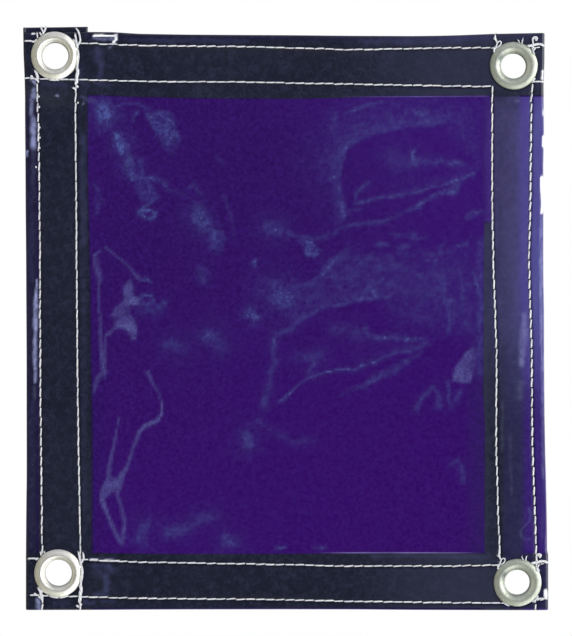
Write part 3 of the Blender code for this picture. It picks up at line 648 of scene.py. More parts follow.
def stations(low_fold, low_inner, high_inner, high_fold, low_free, high_free):
    """Grid lines across the unfolded film: for each, its side, its turn round the fold, how far it
    lies beyond the fold, and its place on the front."""
    low_limit = low_fold + LAYER_PITCH
    high_limit = high_fold - LAYER_PITCH
    lines = []
    flap = low_free - low_limit
    for reach in np.linspace(flap, FLAP_STEP, round(flap / FLAP_STEP)):
        lines.append((-1, math.pi, reach, low_limit))
    for step in range(BEND_STEPS, 0, -1):
        lines.append((-1, math.pi * step / BEND_STEPS, 0.0, low_limit))
    breaks = (
        (low_limit, low_inner - EDGE_ZONE, HEM_STEP),
        (low_inner - EDGE_ZONE, low_inner + EDGE_ZONE, EDGE_STEP),
        (low_inner + EDGE_ZONE, high_inner - EDGE_ZONE, PANEL_STEP),
        (high_inner - EDGE_ZONE, high_inner + EDGE_ZONE, EDGE_STEP),
        (high_inner + EDGE_ZONE, high_limit, HEM_STEP),
    )
    for start, end, step in breaks:
        for position in np.linspace(start, end, round((end - start) / step) + 1)[:-1]:
            lines.append((0, 0.0, 0.0, position))
    lines.append((0, 0.0, 0.0, high_limit))
    for step in range(1, BEND_STEPS + 1):
        lines.append((1, math.pi * step / BEND_STEPS, 0.0, high_limit))
    flap = high_limit - high_free
    for reach in np.linspace(FLAP_STEP, flap, round(flap / FLAP_STEP)):
        lines.append((1, math.pi, reach, high_limit))
    return np.array(lines).T


def folded(lines, half_depth, depth_before, low_fold, high_fold):
    """The place and depth of each grid line after its edges are folded to the back."""
    side, turn, reach, place = lines
    fold = np.where(side < 0, low_fold, high_fold)
    limit = fold - side * half_depth
    radius = half_depth - depth_before
    turned_place = limit + side * (radius * np.sin(turn) - reach)
    turned_depth = half_depth - radius * np.cos(turn)
    return np.where(side == 0, place, turned_place), np.where(side == 0, depth_before, turned_depth)


def side_half_depth(z):
    """Half the side hems' thickness: more where they take in the top and bottom hems."""
    near_top = smooth_step(TOP_FLAP_EDGE - 14.0 * MM, TOP_FLAP_EDGE, z)
    near_bottom = smooth_step(-BOTTOM_FLAP_EDGE - 14.0 * MM, -BOTTOM_FLAP_EDGE, -z)
    return LAYER_PITCH * (1.0 + 2.0 * np.maximum(near_top, near_bottom))


def stack_thickness(x, z):
    """From the middle of the front layer to the middle of the rearmost one."""
    in_side_hem = smooth_step(94.0 * MM, 104.0 * MM, np.abs(x))
    return 2.0 * (LAYER_PITCH + (side_half_depth(z) - LAYER_PITCH) * in_side_hem)


def hung_depth(x, z, depth):
    """The y of points in the hanging stack, at x, z and at a depth behind the front layer."""
    place_in_stack = np.clip(2.0 * depth / stack_thickness(x, z) - 1.0, -1.0, 1.0)
    pull = PILLOW * hem_fullness(x, z) - stitch_dip(x, z)
    return FRONT_MIDDLE_Y + depth - hang_wave(x, z) - crease_ridges(x, z) + place_in_stack * pull


def settle(x, z, depth):
    """Moves points of a flat, folded stack to where they hang."""
    sideways = np.where(x < 0, graph(z, LEFT_FOLD_SHIFT), graph(z, RIGHT_FOLD_SHIFT)) * MM
    x = x + sideways * smooth_step(100.0 * MM, HALF_WIDTH, np.abs(x))
    z = z + graph(x, TOP_FOLD_SHIFT) * MM * smooth_step(TOP_FLAP_EDGE, TOP_FOLD, z)
    z = z + graph(x, BOTTOM_FOLD_SHIFT) * MM * smooth_step(-BOTTOM_FLAP_EDGE, -BOTTOM_FOLD, -z)
    return x, hung_depth(x, z, depth), z


def face_y(x, z, facing):
    """The y of the hanging panel's front face, facing -1, or of its rearmost face, facing 1."""
    depth = stack_thickness(x, z) if facing > 0 else np.zeros(np.shape(x))
    return hung_depth(x, z, depth) + facing * FILM_THICKNESS / 2


def grid_faces(columns, rows):
    index = np.arange(columns * rows).reshape(columns, rows)
    corners = (index[:-1, :-1], index[1:, :-1], index[1:, 1:], index[:-1, 1:])
    return np.stack([corner.ravel() for corner in corners], axis=1)


def clear_of_grommets(faces, x, z):
    """Drops the faces that would cross a grommet's barrel."""
    flat_x = x.ravel()
    flat_z = z.ravel()
    for centre in GROMMETS.values():
        away = np.hypot(flat_x - centre.x, flat_z - centre.z)
        faces = faces[(away[faces] > HOLE_RADIUS).all(axis=1)]
    return faces


def mesh_object(name, points, faces, material, attributes=None):
    """A smooth mesh of the faces' own points, with a number for each point under each name."""
    used, faces = np.unique(faces, return_inverse=True)
    faces = faces.reshape(-1, 4)
    mesh = bpy.data.meshes.new(name)
    mesh.from_pydata(points[used].tolist(), [], faces.tolist())
    for key, values in (attributes or {}).items():
        field = mesh.attributes.new(key, "FLOAT", "POINT")
        field.data.foreach_set("value", values.ravel()[used].astype(np.float32))
    mesh.materials.append(material)
    mesh.shade_smooth()
    made = bpy.data.objects.new(name, mesh)
    bpy.context.scene.collection.objects.link(made)
    return made


def thicken(made, thickness):
    skin = made.modifiers.new("thickness", "SOLIDIFY")
    skin.thickness = thickness
    skin.offset = 0.0


def make_film(material):
    across = stations(-HALF_WIDTH, left_tape_edge(0.0), right_tape_edge(0.0), HALF_WIDTH,
                      LEFT_FLAP_EDGE, RIGHT_FLAP_EDGE)
    upward = stations(BOTTOM_FOLD, bottom_tape_edge(0.0), top_tape_edge(-60.0 * MM), TOP_FOLD,
                      BOTTOM_FLAP_EDGE, TOP_FLAP_EDGE)
    z_line, depth_line = folded(upward, LAYER_PITCH, 0.0, BOTTOM_FOLD, TOP_FOLD)
    columns = across.shape[1]
    z = np.tile(z_line, (columns, 1))
    level_depth = np.tile(depth_line, (columns, 1))
    half_depth = side_half_depth(z)
    lines = [np.repeat(values[:, None], z.shape[1], axis=1) for values in across]
    x, depth = folded(lines, half_depth, level_depth, -HALF_WIDTH, HALF_WIDTH)
    turn = lines[1] * (lines[0] < 0) / math.pi
    z = z + RAISED_FLAP * smooth_step(0.0, 0.45, turn) * smooth_step(60.0 * MM, 150.0 * MM, z)
    px, py, pz = settle(x, z, depth)
    faces = clear_of_grommets(grid_faces(*x.shape), px, pz)
    on_front = (depth < 0.5 * LAYER_PITCH).astype(float)
    inner = band(px, left_tape_edge(pz), right_tape_edge(pz), 1.0 * MM)
    inner = inner * band(pz, bottom_tape_edge(px), top_tape_edge(px), 1.0 * MM)
    # Painted reflections on the clear film
    painted_reflection = brushed(px, pz, REFLECTION_STROKES, 0.95, 0.7 * MM, spread=1.25, halo=0.3)
    painted_reflection = np.maximum(painted_reflection, filled(px, pz, REFLECTION_PATCHES, 1.3 * MM))
    painted_reflection = np.maximum(painted_reflection, edged(px, pz, REFLECTION_EDGES, 0.7 * MM))
    # Painted highlights along the creases
    crease_highlight = brushed(px, pz, CREASES, 0.7, 0.25 * MM)
    crease_highlight = np.maximum(crease_highlight, filled(px, pz, CREASE_HIGHLIGHT_PATCHES, 0.3 * MM))
    attributes = {
        "over_tape": tape_cover(px, pz, 0.5 * MM),
        "dark": tape_cover(px, pz, 3.0 * MM),
        "strip_reflection": painted_strip_reflection(px, pz),
        "crease_highlight": crease_highlight * on_front * inner,
        "seam_shade": painted_seam_shade(px, pz),
        "lip_highlight": painted_lip_highlight(px, pz) * on_front,
        "painted_reflection": painted_reflection * inner * on_front,
        "hem_sheen": brushed(px, pz, HEM_SHEEN_STROKES, 1.0, 0.6 * MM) * on_front,
        "glare": brushed(px, pz, GLARE, 0.8, 0.3 * MM) * on_front,
        "glint": brushed(px, pz, GLINTS, 0.5, 0.1 * MM) * on_front,
    }
    points = np.stack((px.ravel(), py.ravel(), pz.ravel()), axis=1)
    film = mesh_object("violet_film", points, faces, material, attributes)
    thicken(film, FILM_THICKNESS)
    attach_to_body(film, "root")
    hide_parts("film_sheet")
    return film


# ---------------------------------------------------------------- the black tapes inside the hems
TAPE_STEP = 1.6 * MM
TAPE_LINES = 15


def make_tape(hem, material):
    low, high = TAPE_BOX[hem]
    level = hem in ("top", "bottom")
    start, end = (low.x, high.x) if level else (low.z, high.z)
    along = np.linspace(start, end, round((end - start) / TAPE_STEP) + 1)
    share = np.linspace(0.0, 1.0, TAPE_LINES)
    along, share = np.meshgrid(along, share, indexing="ij")
    if level:
        x = along
        if hem == "top":
            first, last = top_tape_edge(x), high.z - 0.9 * MM + TOP_TAPE_SLANT * x
        else:
            first, last = low.z, bottom_tape_edge(x)
        z = first + (last - first) * share
    else:
        z = along
        if hem == "left":
            first, last = low.x, left_tape_edge(z)
        else:
            first, last = right_tape_edge(z), right_tape_outer_edge(z)
        x = first + (last - first) * share
    depth = np.full(x.shape, LAYER_PITCH) if level else side_half_depth(z)
    ripple = 0.02 * MM * soft_noise(x, z, 5.0 * MM, 11)
    y = hung_depth(x, z, depth) + ripple
    faces = clear_of_grommets(grid_faces(*x.shape), x, z)
    if hem != "bottom":
        faces = faces[:, ::-1]
    points = np.stack((x.ravel(), y.ravel(), z.ravel()), axis=1)
    tape = mesh_object(f"black_{hem}_tape", points, faces, material)
    thicken(tape, TAPE_THICKNESS)
    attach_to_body(tape, "root")
    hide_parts(f"{hem}_hem_tape")
    return tape


# ---------------------------------------------------------------- stitches and loose ends of thread
THREAD_SIDES = 10
STITCH_RINGS = 13
PLIES = 3
PLY_LAY = 2.4 * MM
THREAD_RADIUS = 0.42 * MM

# Each front row's stitches: the gap between them and their slant in millimetres, and how thick they are
FRONT_STITCHES = {
    "top_outer": (0.20, 0.15, 0.90),
    "top_inner": (0.18, 0.15, 0.93),
    "bottom_inner": (0.30, 0.15, 0.93),
    "bottom_outer": (0.20, 0.15, 0.94),
    "left_outer": (0.40, 0.15, 1.0),
    "left_inner": (0.10, 0.12, 1.0),
    "right_outer": (0.66, 0.20, 1.08),
    "right_inner": (0.15, 0.20, 1.0),
}
BACK_STITCHES = (1.0, -0.25, 1.0)


def thread_tube(path, radii, facing):
    """Points and faces round a path, and how far the thread's twist has turned at each point."""
    run = np.gradient(path, axis=0)
    run /= np.linalg.norm(run, axis=1, keepdims=True)
    across = np.cross(run, (0.0, 1.0, 0.0))
    across /= np.linalg.norm(across, axis=1, keepdims=True)
    under = -facing * np.cross(across, run)
    turn = np.linspace(0.0, 2.0 * math.pi, THREAD_SIDES + 1)
    rim = under[:, None, :] * np.cos(turn)[None, :, None]
    rim = rim + across[:, None, :] * np.sin(turn)[None, :, None]
    points = path[:, None, :] + rim * radii[:, None, None]
    faces = grid_faces(len(path), THREAD_SIDES + 1)
    if facing < 0:
        faces = faces[:, ::-1]
    travelled = np.concatenate(((0.0,), np.cumsum(np.linalg.norm(np.diff(path, axis=0), axis=1))))
    twist = PLIES * turn[None, :] / (2.0 * math.pi) + travelled[:, None] / PLY_LAY
    return points.reshape(-1, 3), faces, twist.ravel()


def bundle(tubes):
    """Joins tubes' points, faces and twists into one set."""
    count = 0
    points, faces, twists, shades = [], [], [], []
    for (tube_points, tube_faces, twist), shade in tubes:
        points.append(tube_points)
        faces.append(tube_faces + count)
        twists.append(twist)
        shades.append(np.full(len(tube_points), shade))
        count += len(tube_points)
    return (np.concatenate(points), np.concatenate(faces),
            {"twist": np.concatenate(twists), "shade": np.concatenate(shades)})


def clear_of_flanges(x, z):
    """Moves a path aside from a flange's edge; says how deep under a flange its middle lies."""
    deepest = 1.0
    for centre in GROMMETS.values():
        away = np.hypot(x - centre.x, z - centre.z)
        deepest = min(deepest, away[len(away) // 2])
        aside = np.maximum(away, FLANGE_RADIUS + 0.30 * MM) / np.maximum(away, MM)
        x = centre.x + (x - centre.x) * aside
        z = centre.z + (z - centre.z) * aside
    return x, z, deepest


def row_stitches(row_name, facing, rng):
    axis, points = ROWS[row_name]
    start = points[0][axis] * MM
    end = points[-1][axis] * MM
    gap, slant, thickness = FRONT_STITCHES[row_name] if facing < 0 else BACK_STITCHES
    t = np.linspace(0.0, 1.0, STITCH_RINGS)
    from_middle = np.abs(2.0 * t - 1.0)
    tubes = []
    for number in range(math.floor(start / STITCH_PITCH), math.ceil(end / STITCH_PITCH)):
        low = max(number * STITCH_PITCH + 0.5 * gap * MM, start)
        high = min((number + 1) * STITCH_PITCH - 0.5 * gap * MM, end)
        wander = rng.uniform(-0.12, 0.12, 4) * MM
        radius = THREAD_RADIUS * thickness * rng.uniform(0.88, 1.10)
        shade = rng.uniform(0.0, 1.0)
        if high - low < 1.2 * MM:
            continue
        along = low + wander[0] + (high - low) * t
        lean = slant * MM * (2.0 * t - 1.0) + wander[1] * (2.0 * t - 1.0)
        bow = wander[2] * (1.0 - from_middle**2)
        aside = row_across(row_name, along) + lean + bow + 0.6 * wander[3]
        x, z = (along, aside) if axis == 0 else (aside, along)
        x, z, under_flange = clear_of_flanges(x, z)
        if under_flange < FLANGE_RADIUS - 0.9 * MM:
            continue
        radii = radius * (0.5 + 0.5 * np.sqrt(1.0 - 0.9 * from_middle**6))
        dive = 0.75 * MM * from_middle**10
        y = face_y(x, z, facing) + facing * (0.75 * radius - dive)
        path = np.stack((x, y, z), axis=1)
        tubes.append((thread_tube(path, radii, facing), shade))
    return tubes


def smooth_path(points):
    """Points along a curve that passes through the given ones."""
    points = np.array(points, float)
    if len(points) == 2:
        return points[0] + (points[1] - points[0]) * np.linspace(0.0, 1.0, 9)[:, None]
    padded = np.vstack((2 * points[0] - points[1], points, 2 * points[-1] - points[-2]))
    t = np.linspace(0.0, 1.0, 8)[:-1, None]
    curve = []
    for p0, p1, p2, p3 in zip(padded, padded[1:], padded[2:], padded[3:]):
        curve.append(0.5 * (2 * p1 + (p2 - p0) * t + (2 * p0 - 5 * p1 + 4 * p2 - p3) * t**2
                            + (3 * p1 - p0 - 3 * p2 + p3) * t**3))
    curve.append(points[-1:])
    return np.vstack(curve)


# How far a flange stands in front of the film, as (radius, height) in millimetres
FLANGE_PROFILE = ((10.0, 2.3), (11.0, 2.1), (12.0, 1.5), (12.6, 0.9), (13.6, 0.0))


def flange_relief(x, z):
    """How far a grommet's flange stands in front of the film."""
    relief = np.zeros(np.shape(x))
    for centre in GROMMETS.values():
        away = np.hypot(x - centre.x, z - centre.z)
        relief = np.maximum(relief, graph(away, FLANGE_PROFILE) * MM)
    return relief


# How high the loose ends reach, and how low. The bottom corners' ends were trimmed short
TOP_ENDS_LIMIT = 155.2 * MM
BOTTOM_ENDS_LIMIT = -123.0 * MM
LOWEST_END = -153.6 * MM
FIBRES_PER_END = 4
FIBRE_RADIUS = 0.09 * MM


def loose_ends(corner, rng):
    """Thread ends, loops and knots left on the front by the sewing round one grommet."""
    centre = GROMMETS[corner]
    tubes = []
    for radius, lift, offsets in LEFT_LOOSE_ENDS if "left" in corner else RIGHT_LOOSE_ENDS:
        curve = smooth_path(offsets) * MM
        x = centre.x + curve[:, 0]
        z = centre.z + curve[:, 1]
        shown = z < (TOP_ENDS_LIMIT if "top" in corner else BOTTOM_ENDS_LIMIT)
        x, z = x[shown], z[shown]
        if len(z) < 5 or z.min() < LOWEST_END:
            continue
        t = np.linspace(-1.0, 1.0, len(z))
        y = face_y(x, z, -1) - flange_relief(x, z)
        y = y - (0.8 * radius + lift * (1.0 - t**4)) * MM
        radii = radius * MM * np.sqrt(np.maximum(1.0 - 0.97 * t**8, 0.02))
        radii = radii * (1.0 + 0.10 * np.sin(9.0 * t + 3.0 * radius))
        path = np.stack((x, y, z), axis=1)
        tubes.append((thread_tube(path, radii, -1), 0.5))
        for _ in range(FIBRES_PER_END):
            reach = rng.uniform(0.5, 1.5) * MM
            heading = rng.uniform(0.0, 2.0 * math.pi)
            bend = rng.uniform(-0.9, 0.9)
            s = np.linspace(0.0, 1.0, 6)
            fibre_x = x[0] + reach * s * np.cos(heading + bend * s)
            fibre_z = z[0] + reach * s * np.sin(heading + bend * s)
            fibre_y = y[0] - 0.5 * MM * s * (1.0 - s)
            fibre = np.stack((fibre_x, fibre_y, fibre_z), axis=1)
            tubes.append((thread_tube(fibre, FIBRE_RADIUS * (1.1 - s), -1), 0.2))
    return tubes


def knots(rng):
    tubes = []
    for x, z in KNOTS:
        along = np.linspace(-0.6, 0.6, 9)
        lean = rng.uniform(-0.5, 0.5)
        x_path = (x + lean * along) * MM
        z_path = (z + along) * MM
        y = face_y(x_path, z_path, -1) - 0.8 * KNOT_RADIUS
        radii = KNOT_RADIUS * np.sqrt(np.maximum(1.0 - (along / 0.62) ** 2, 0.05))
        tubes.append((thread_tube(np.stack((x_path, y, z_path), axis=1), radii, -1), 0.1))
    return tubes


# The row that each corner's loose ends were sewn with
LOOSE_END_ROWS = {
    "left_inner": ("top_left", "bottom_left"),
    "right_inner": ("top_right", "bottom_right"),
}


def make_stitches(row_name, material):
    rng = np.random.default_rng(sum(map(ord, row_name)))
    made = []
    for side, facing in (("front", -1), ("back", 1)):
        tubes = row_stitches(row_name, facing, rng)
        if facing < 0:
            for corner in LOOSE_END_ROWS.get(row_name, ()):
                tubes += loose_ends(corner, rng)
            if row_name == "left_outer":
                tubes += knots(rng)
        points, faces, attributes = bundle(tubes)
        stitches = mesh_object(f"{row_name}_{side}_stitches", points, faces, material, attributes)
        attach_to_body(stitches, "root")
        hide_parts(f"{row_name}_{'needle' if facing < 0 else 'bobbin'}_thread")
        made.append(stitches)
    return made


# ---------------------------------------------------------------- grommets and washers
TURNED_STEPS = 112

# Profiles as (radius, y) in millimetres, round the section of the metal
ROLLED_LIP = ((8.60, 3.85), (9.10, 3.60), (9.42, 3.15), (9.46, 2.80), (9.00, 2.66), (8.30, 2.60))
FLANGE_EDGE = ((11.20, -2.90), (11.90, -2.40), (12.25, -1.95))
LEFT_GROMMET_PROFILE = (
    (12.50, -1.80), (12.68, -1.90), (12.70, -2.15), (12.52, -2.42), (12.12, -2.78), (11.45, -3.22),
    (10.70, -3.58), (10.05, -3.80), (9.50, -3.88), (8.95, -3.76), (8.42, -3.36), (7.92, -2.75),
    (7.50, -2.00), (7.20, -1.10), (7.05, 0.00), (7.00, 1.40), (7.00, 2.70), (7.12, 3.25),
    (7.45, 3.68), (8.00, 3.88), *ROLLED_LIP,
    (7.70, 2.30), (7.60, 1.20), (7.62, 0.00), (7.80, -1.00), (8.20, -1.95), (8.80, -2.75),
    (9.50, -3.25), (10.30, -3.28), *FLANGE_EDGE,
)
RIGHT_GROMMET_PROFILE = (
    (12.50, -1.80), (12.68, -1.90), (12.70, -2.20), (12.50, -2.65), (12.00, -3.15), (11.30, -3.55),
    (10.50, -3.78), (9.80, -3.84), (9.20, -3.74), (8.60, -3.40), (8.00, -2.90), (7.40, -2.35),
    (6.95, -1.70), (6.70, -0.90), (6.62, 0.00), (6.60, 1.40), (6.62, 2.60), (6.80, 3.20),
    (7.20, 3.66), (7.90, 3.88), *ROLLED_LIP,
    (7.50, 2.30), (7.30, 1.20), (7.32, 0.00), (7.50, -1.00), (7.90, -1.75), (8.60, -2.60),
    (9.50, -3.15), (10.30, -3.18), *FLANGE_EDGE,
)
WASHER_PROFILE = (
    (7.95, 1.90), (8.10, 1.76), (9.50, 1.74), (12.30, 1.74), (12.60, 1.80), (12.70, 2.00),
    (12.66, 2.30), (12.40, 2.55), (12.00, 2.63), (11.00, 2.64), (10.25, 2.62), (9.95, 2.52),
    (9.60, 2.44), (8.80, 2.42), (8.10, 2.40), (7.95, 2.25),
)


# Places on the right grommets' inner slope: the angle from +X in degrees and its reach, and the
# radius in millimetres and its reach
# The first is a painted dark reflection, the second a painted highlight
RIGHT_DARK_REFLECTION = (150.0, 18.0, 8.5, 1.3)
RIGHT_HIGHLIGHT = (-15.0, 45.0, 7.8, 1.1)


def patch_on_ring(turn, radius, patch):
    """How strongly the patch shows at each turn, in radians, and radius of a ring."""
    angle, angle_reach, middle, radius_reach = patch
    aside = (np.degrees(turn) - angle + 180.0) % 360.0 - 180.0
    return np.exp(-((aside / angle_reach) ** 2) - ((radius / MM - middle) / radius_reach) ** 2)


def turned(name, profile, centre, material, seed, wobble, highlight_patch=None, dark_reflection=None):
    """A ring turned about a line through centre along Y, slightly out of true."""
    rng = np.random.default_rng(seed)
    phases = rng.uniform(0.0, 2.0 * math.pi, 6)
    profile = np.array(profile) * MM
    turn = np.linspace(0.0, 2.0 * math.pi, TURNED_STEPS, endpoint=False)[:, None]
    radius, y = profile[None, :, 0], profile[None, :, 1]
    rim = (radius - 6.5 * MM) / (6.3 * MM)
    out_of_round = np.sin(2.0 * turn + phases[0]) + 0.5 * np.sin(3.0 * turn + phases[1])
    out_of_round = out_of_round + 0.35 * np.sin(7.0 * turn + phases[2])
    radius = radius + wobble * out_of_round * (0.5 + 0.5 * rim)
    tilt = np.sin(turn + phases[3]) + 0.6 * np.sin(4.0 * turn + phases[4])
    y = y + wobble * tilt * rim
    points = np.stack((centre.x + radius * np.cos(turn), y, centre.z + radius * np.sin(turn)), -1)
    count = profile.shape[0]
    index = np.arange(TURNED_STEPS * count).reshape(TURNED_STEPS, count)
    following = np.roll(index, -1, axis=0)
    faces = np.stack((index, np.roll(index, -1, 1), np.roll(following, -1, 1), following), -1)
    # Painted shade in the bore; on the right grommets also a painted dark reflection and a painted
    # highlight
    from_bore = profile[:, 0] / MM - profile[:, 0].min() / MM
    inside = np.interp(from_bore, (0.0, 0.25, 0.7), (1.0, 0.8, 0.0))
    shaded = np.tile(0.7 * inside, (TURNED_STEPS, 1))
    painted_highlight = np.zeros(shaded.shape)
    if dark_reflection:
        shaded = np.maximum(shaded, patch_on_ring(turn, profile[None, :, 0], dark_reflection))
        painted_highlight = patch_on_ring(turn, profile[None, :, 0], highlight_patch)
    attributes = {"shaded": shaded, "painted_highlight": painted_highlight}
    made = mesh_object(name, points.reshape(-1, 3), faces.reshape(-1, 4), material, attributes)
    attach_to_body(made, "root")
    return made


def make_grommets(left_material, right_material, washer_material):
    made = []
    for seed, corner in enumerate(CORNERS):
        on_left = "left" in corner
        profile = LEFT_GROMMET_PROFILE if on_left else RIGHT_GROMMET_PROFILE
        metal = left_material if on_left else right_material
        patches = () if on_left else (RIGHT_HIGHLIGHT, RIGHT_DARK_REFLECTION)
        grommet = turned(f"{corner}_eyelet", profile, GROMMETS[corner], metal, seed, 0.05 * MM,
                         *patches)
        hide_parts(f"{corner}_grommet")
        washer = turned(f"{corner}_backing_ring", WASHER_PROFILE, GROMMETS[corner], washer_material,
                        seed + 20, 0.03 * MM)
        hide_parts(f"{corner}_washer")
        made += [grommet, washer]
    return made


# ---------------------------------------------------------------- materials
def paint(red, green, blue):
    """A display colour from 0 to 255 as the linear colour that shows it."""
    linear = []
    for level in (red, green, blue):
        share = level / 255.0
        linear.append(share / 12.92 if share <= 0.04045 else ((share + 0.055) / 1.055) ** 2.4)
    return (*linear, 1.0)


def attach(tree, socket, value):
    if isinstance(value, bpy.types.NodeSocket):
        tree.links.new(value, socket)
    else:
        socket.default_value = value


def calculate(tree, operation, first, second=0.0, clamp=False):
    node = tree.nodes.new("ShaderNodeMath")
    node.operation = operation
    node.use_clamp = clamp
    attach(tree, node.inputs[0], first)
    attach(tree, node.inputs[1], second)
    return node.outputs[0]


def plus(tree, first, second, clamp=False):
    return calculate(tree, "ADD", first, second, clamp)


def minus(tree, first, second, clamp=False):
    return calculate(tree, "SUBTRACT", first, second, clamp)


def times(tree, first, second, clamp=False):
    return calculate(tree, "MULTIPLY", first, second, clamp)


def larger(tree, first, second, clamp=False):
    return calculate(tree, "MAXIMUM", first, second, clamp)


def blend_colours(tree, share, first, second):
    node = tree.nodes.new("ShaderNodeMix")
    node.data_type = "RGBA"
    attach(tree, node.inputs[0], share)
    attach(tree, node.inputs[6], first)
    attach(tree, node.inputs[7], second)
    return node.outputs[2]


def layered(tree, colour, *layers):
    """The colour with each layer over it in turn. A layer is its share and its display colour."""
    for share, tint in layers:
        colour = blend_colours(tree, share, colour, paint(*tint))
    return colour


def rescale(tree, value, from_low, from_high, to_low=0.0, to_high=1.0):
    node = tree.nodes.new("ShaderNodeMapRange")
    node.interpolation_type = "SMOOTHSTEP"
    for index, number in enumerate((value, from_low, from_high, to_low, to_high)):
        attach(tree, node.inputs[index], number)
    return node.outputs[0]


def noise(tree, place, size, detail, distortion=0.0):
    """Noise whose lumps are about size across."""
    node = tree.nodes.new("ShaderNodeTexNoise")
    attach(tree, node.inputs["Vector"], place)
    node.inputs["Scale"].default_value = 1.0 / size
    node.inputs["Detail"].default_value = detail
    node.inputs["Roughness"].default_value = 0.55
    node.inputs["Distortion"].default_value = distortion
    return node.outputs["Fac"]


def number_field(tree, name):
    node = tree.nodes.new("ShaderNodeAttribute")
    node.attribute_name = name
    return node.outputs["Fac"]


def object_place(tree):
    return tree.nodes.new("ShaderNodeTexCoord").outputs["Object"]


def relief(tree, shader, height, depth, strength=1.0):
    node = tree.nodes.new("ShaderNodeBump")
    node.inputs["Strength"].default_value = strength
    node.inputs["Distance"].default_value = depth
    attach(tree, node.inputs["Height"], height)
    tree.links.new(node.outputs[0], shader.inputs["Normal"])


def new_material(name):
    material = bpy.data.materials.new(name)
    material.use_nodes = True
    return material, material.node_tree, material.node_tree.nodes["Principled BSDF"]


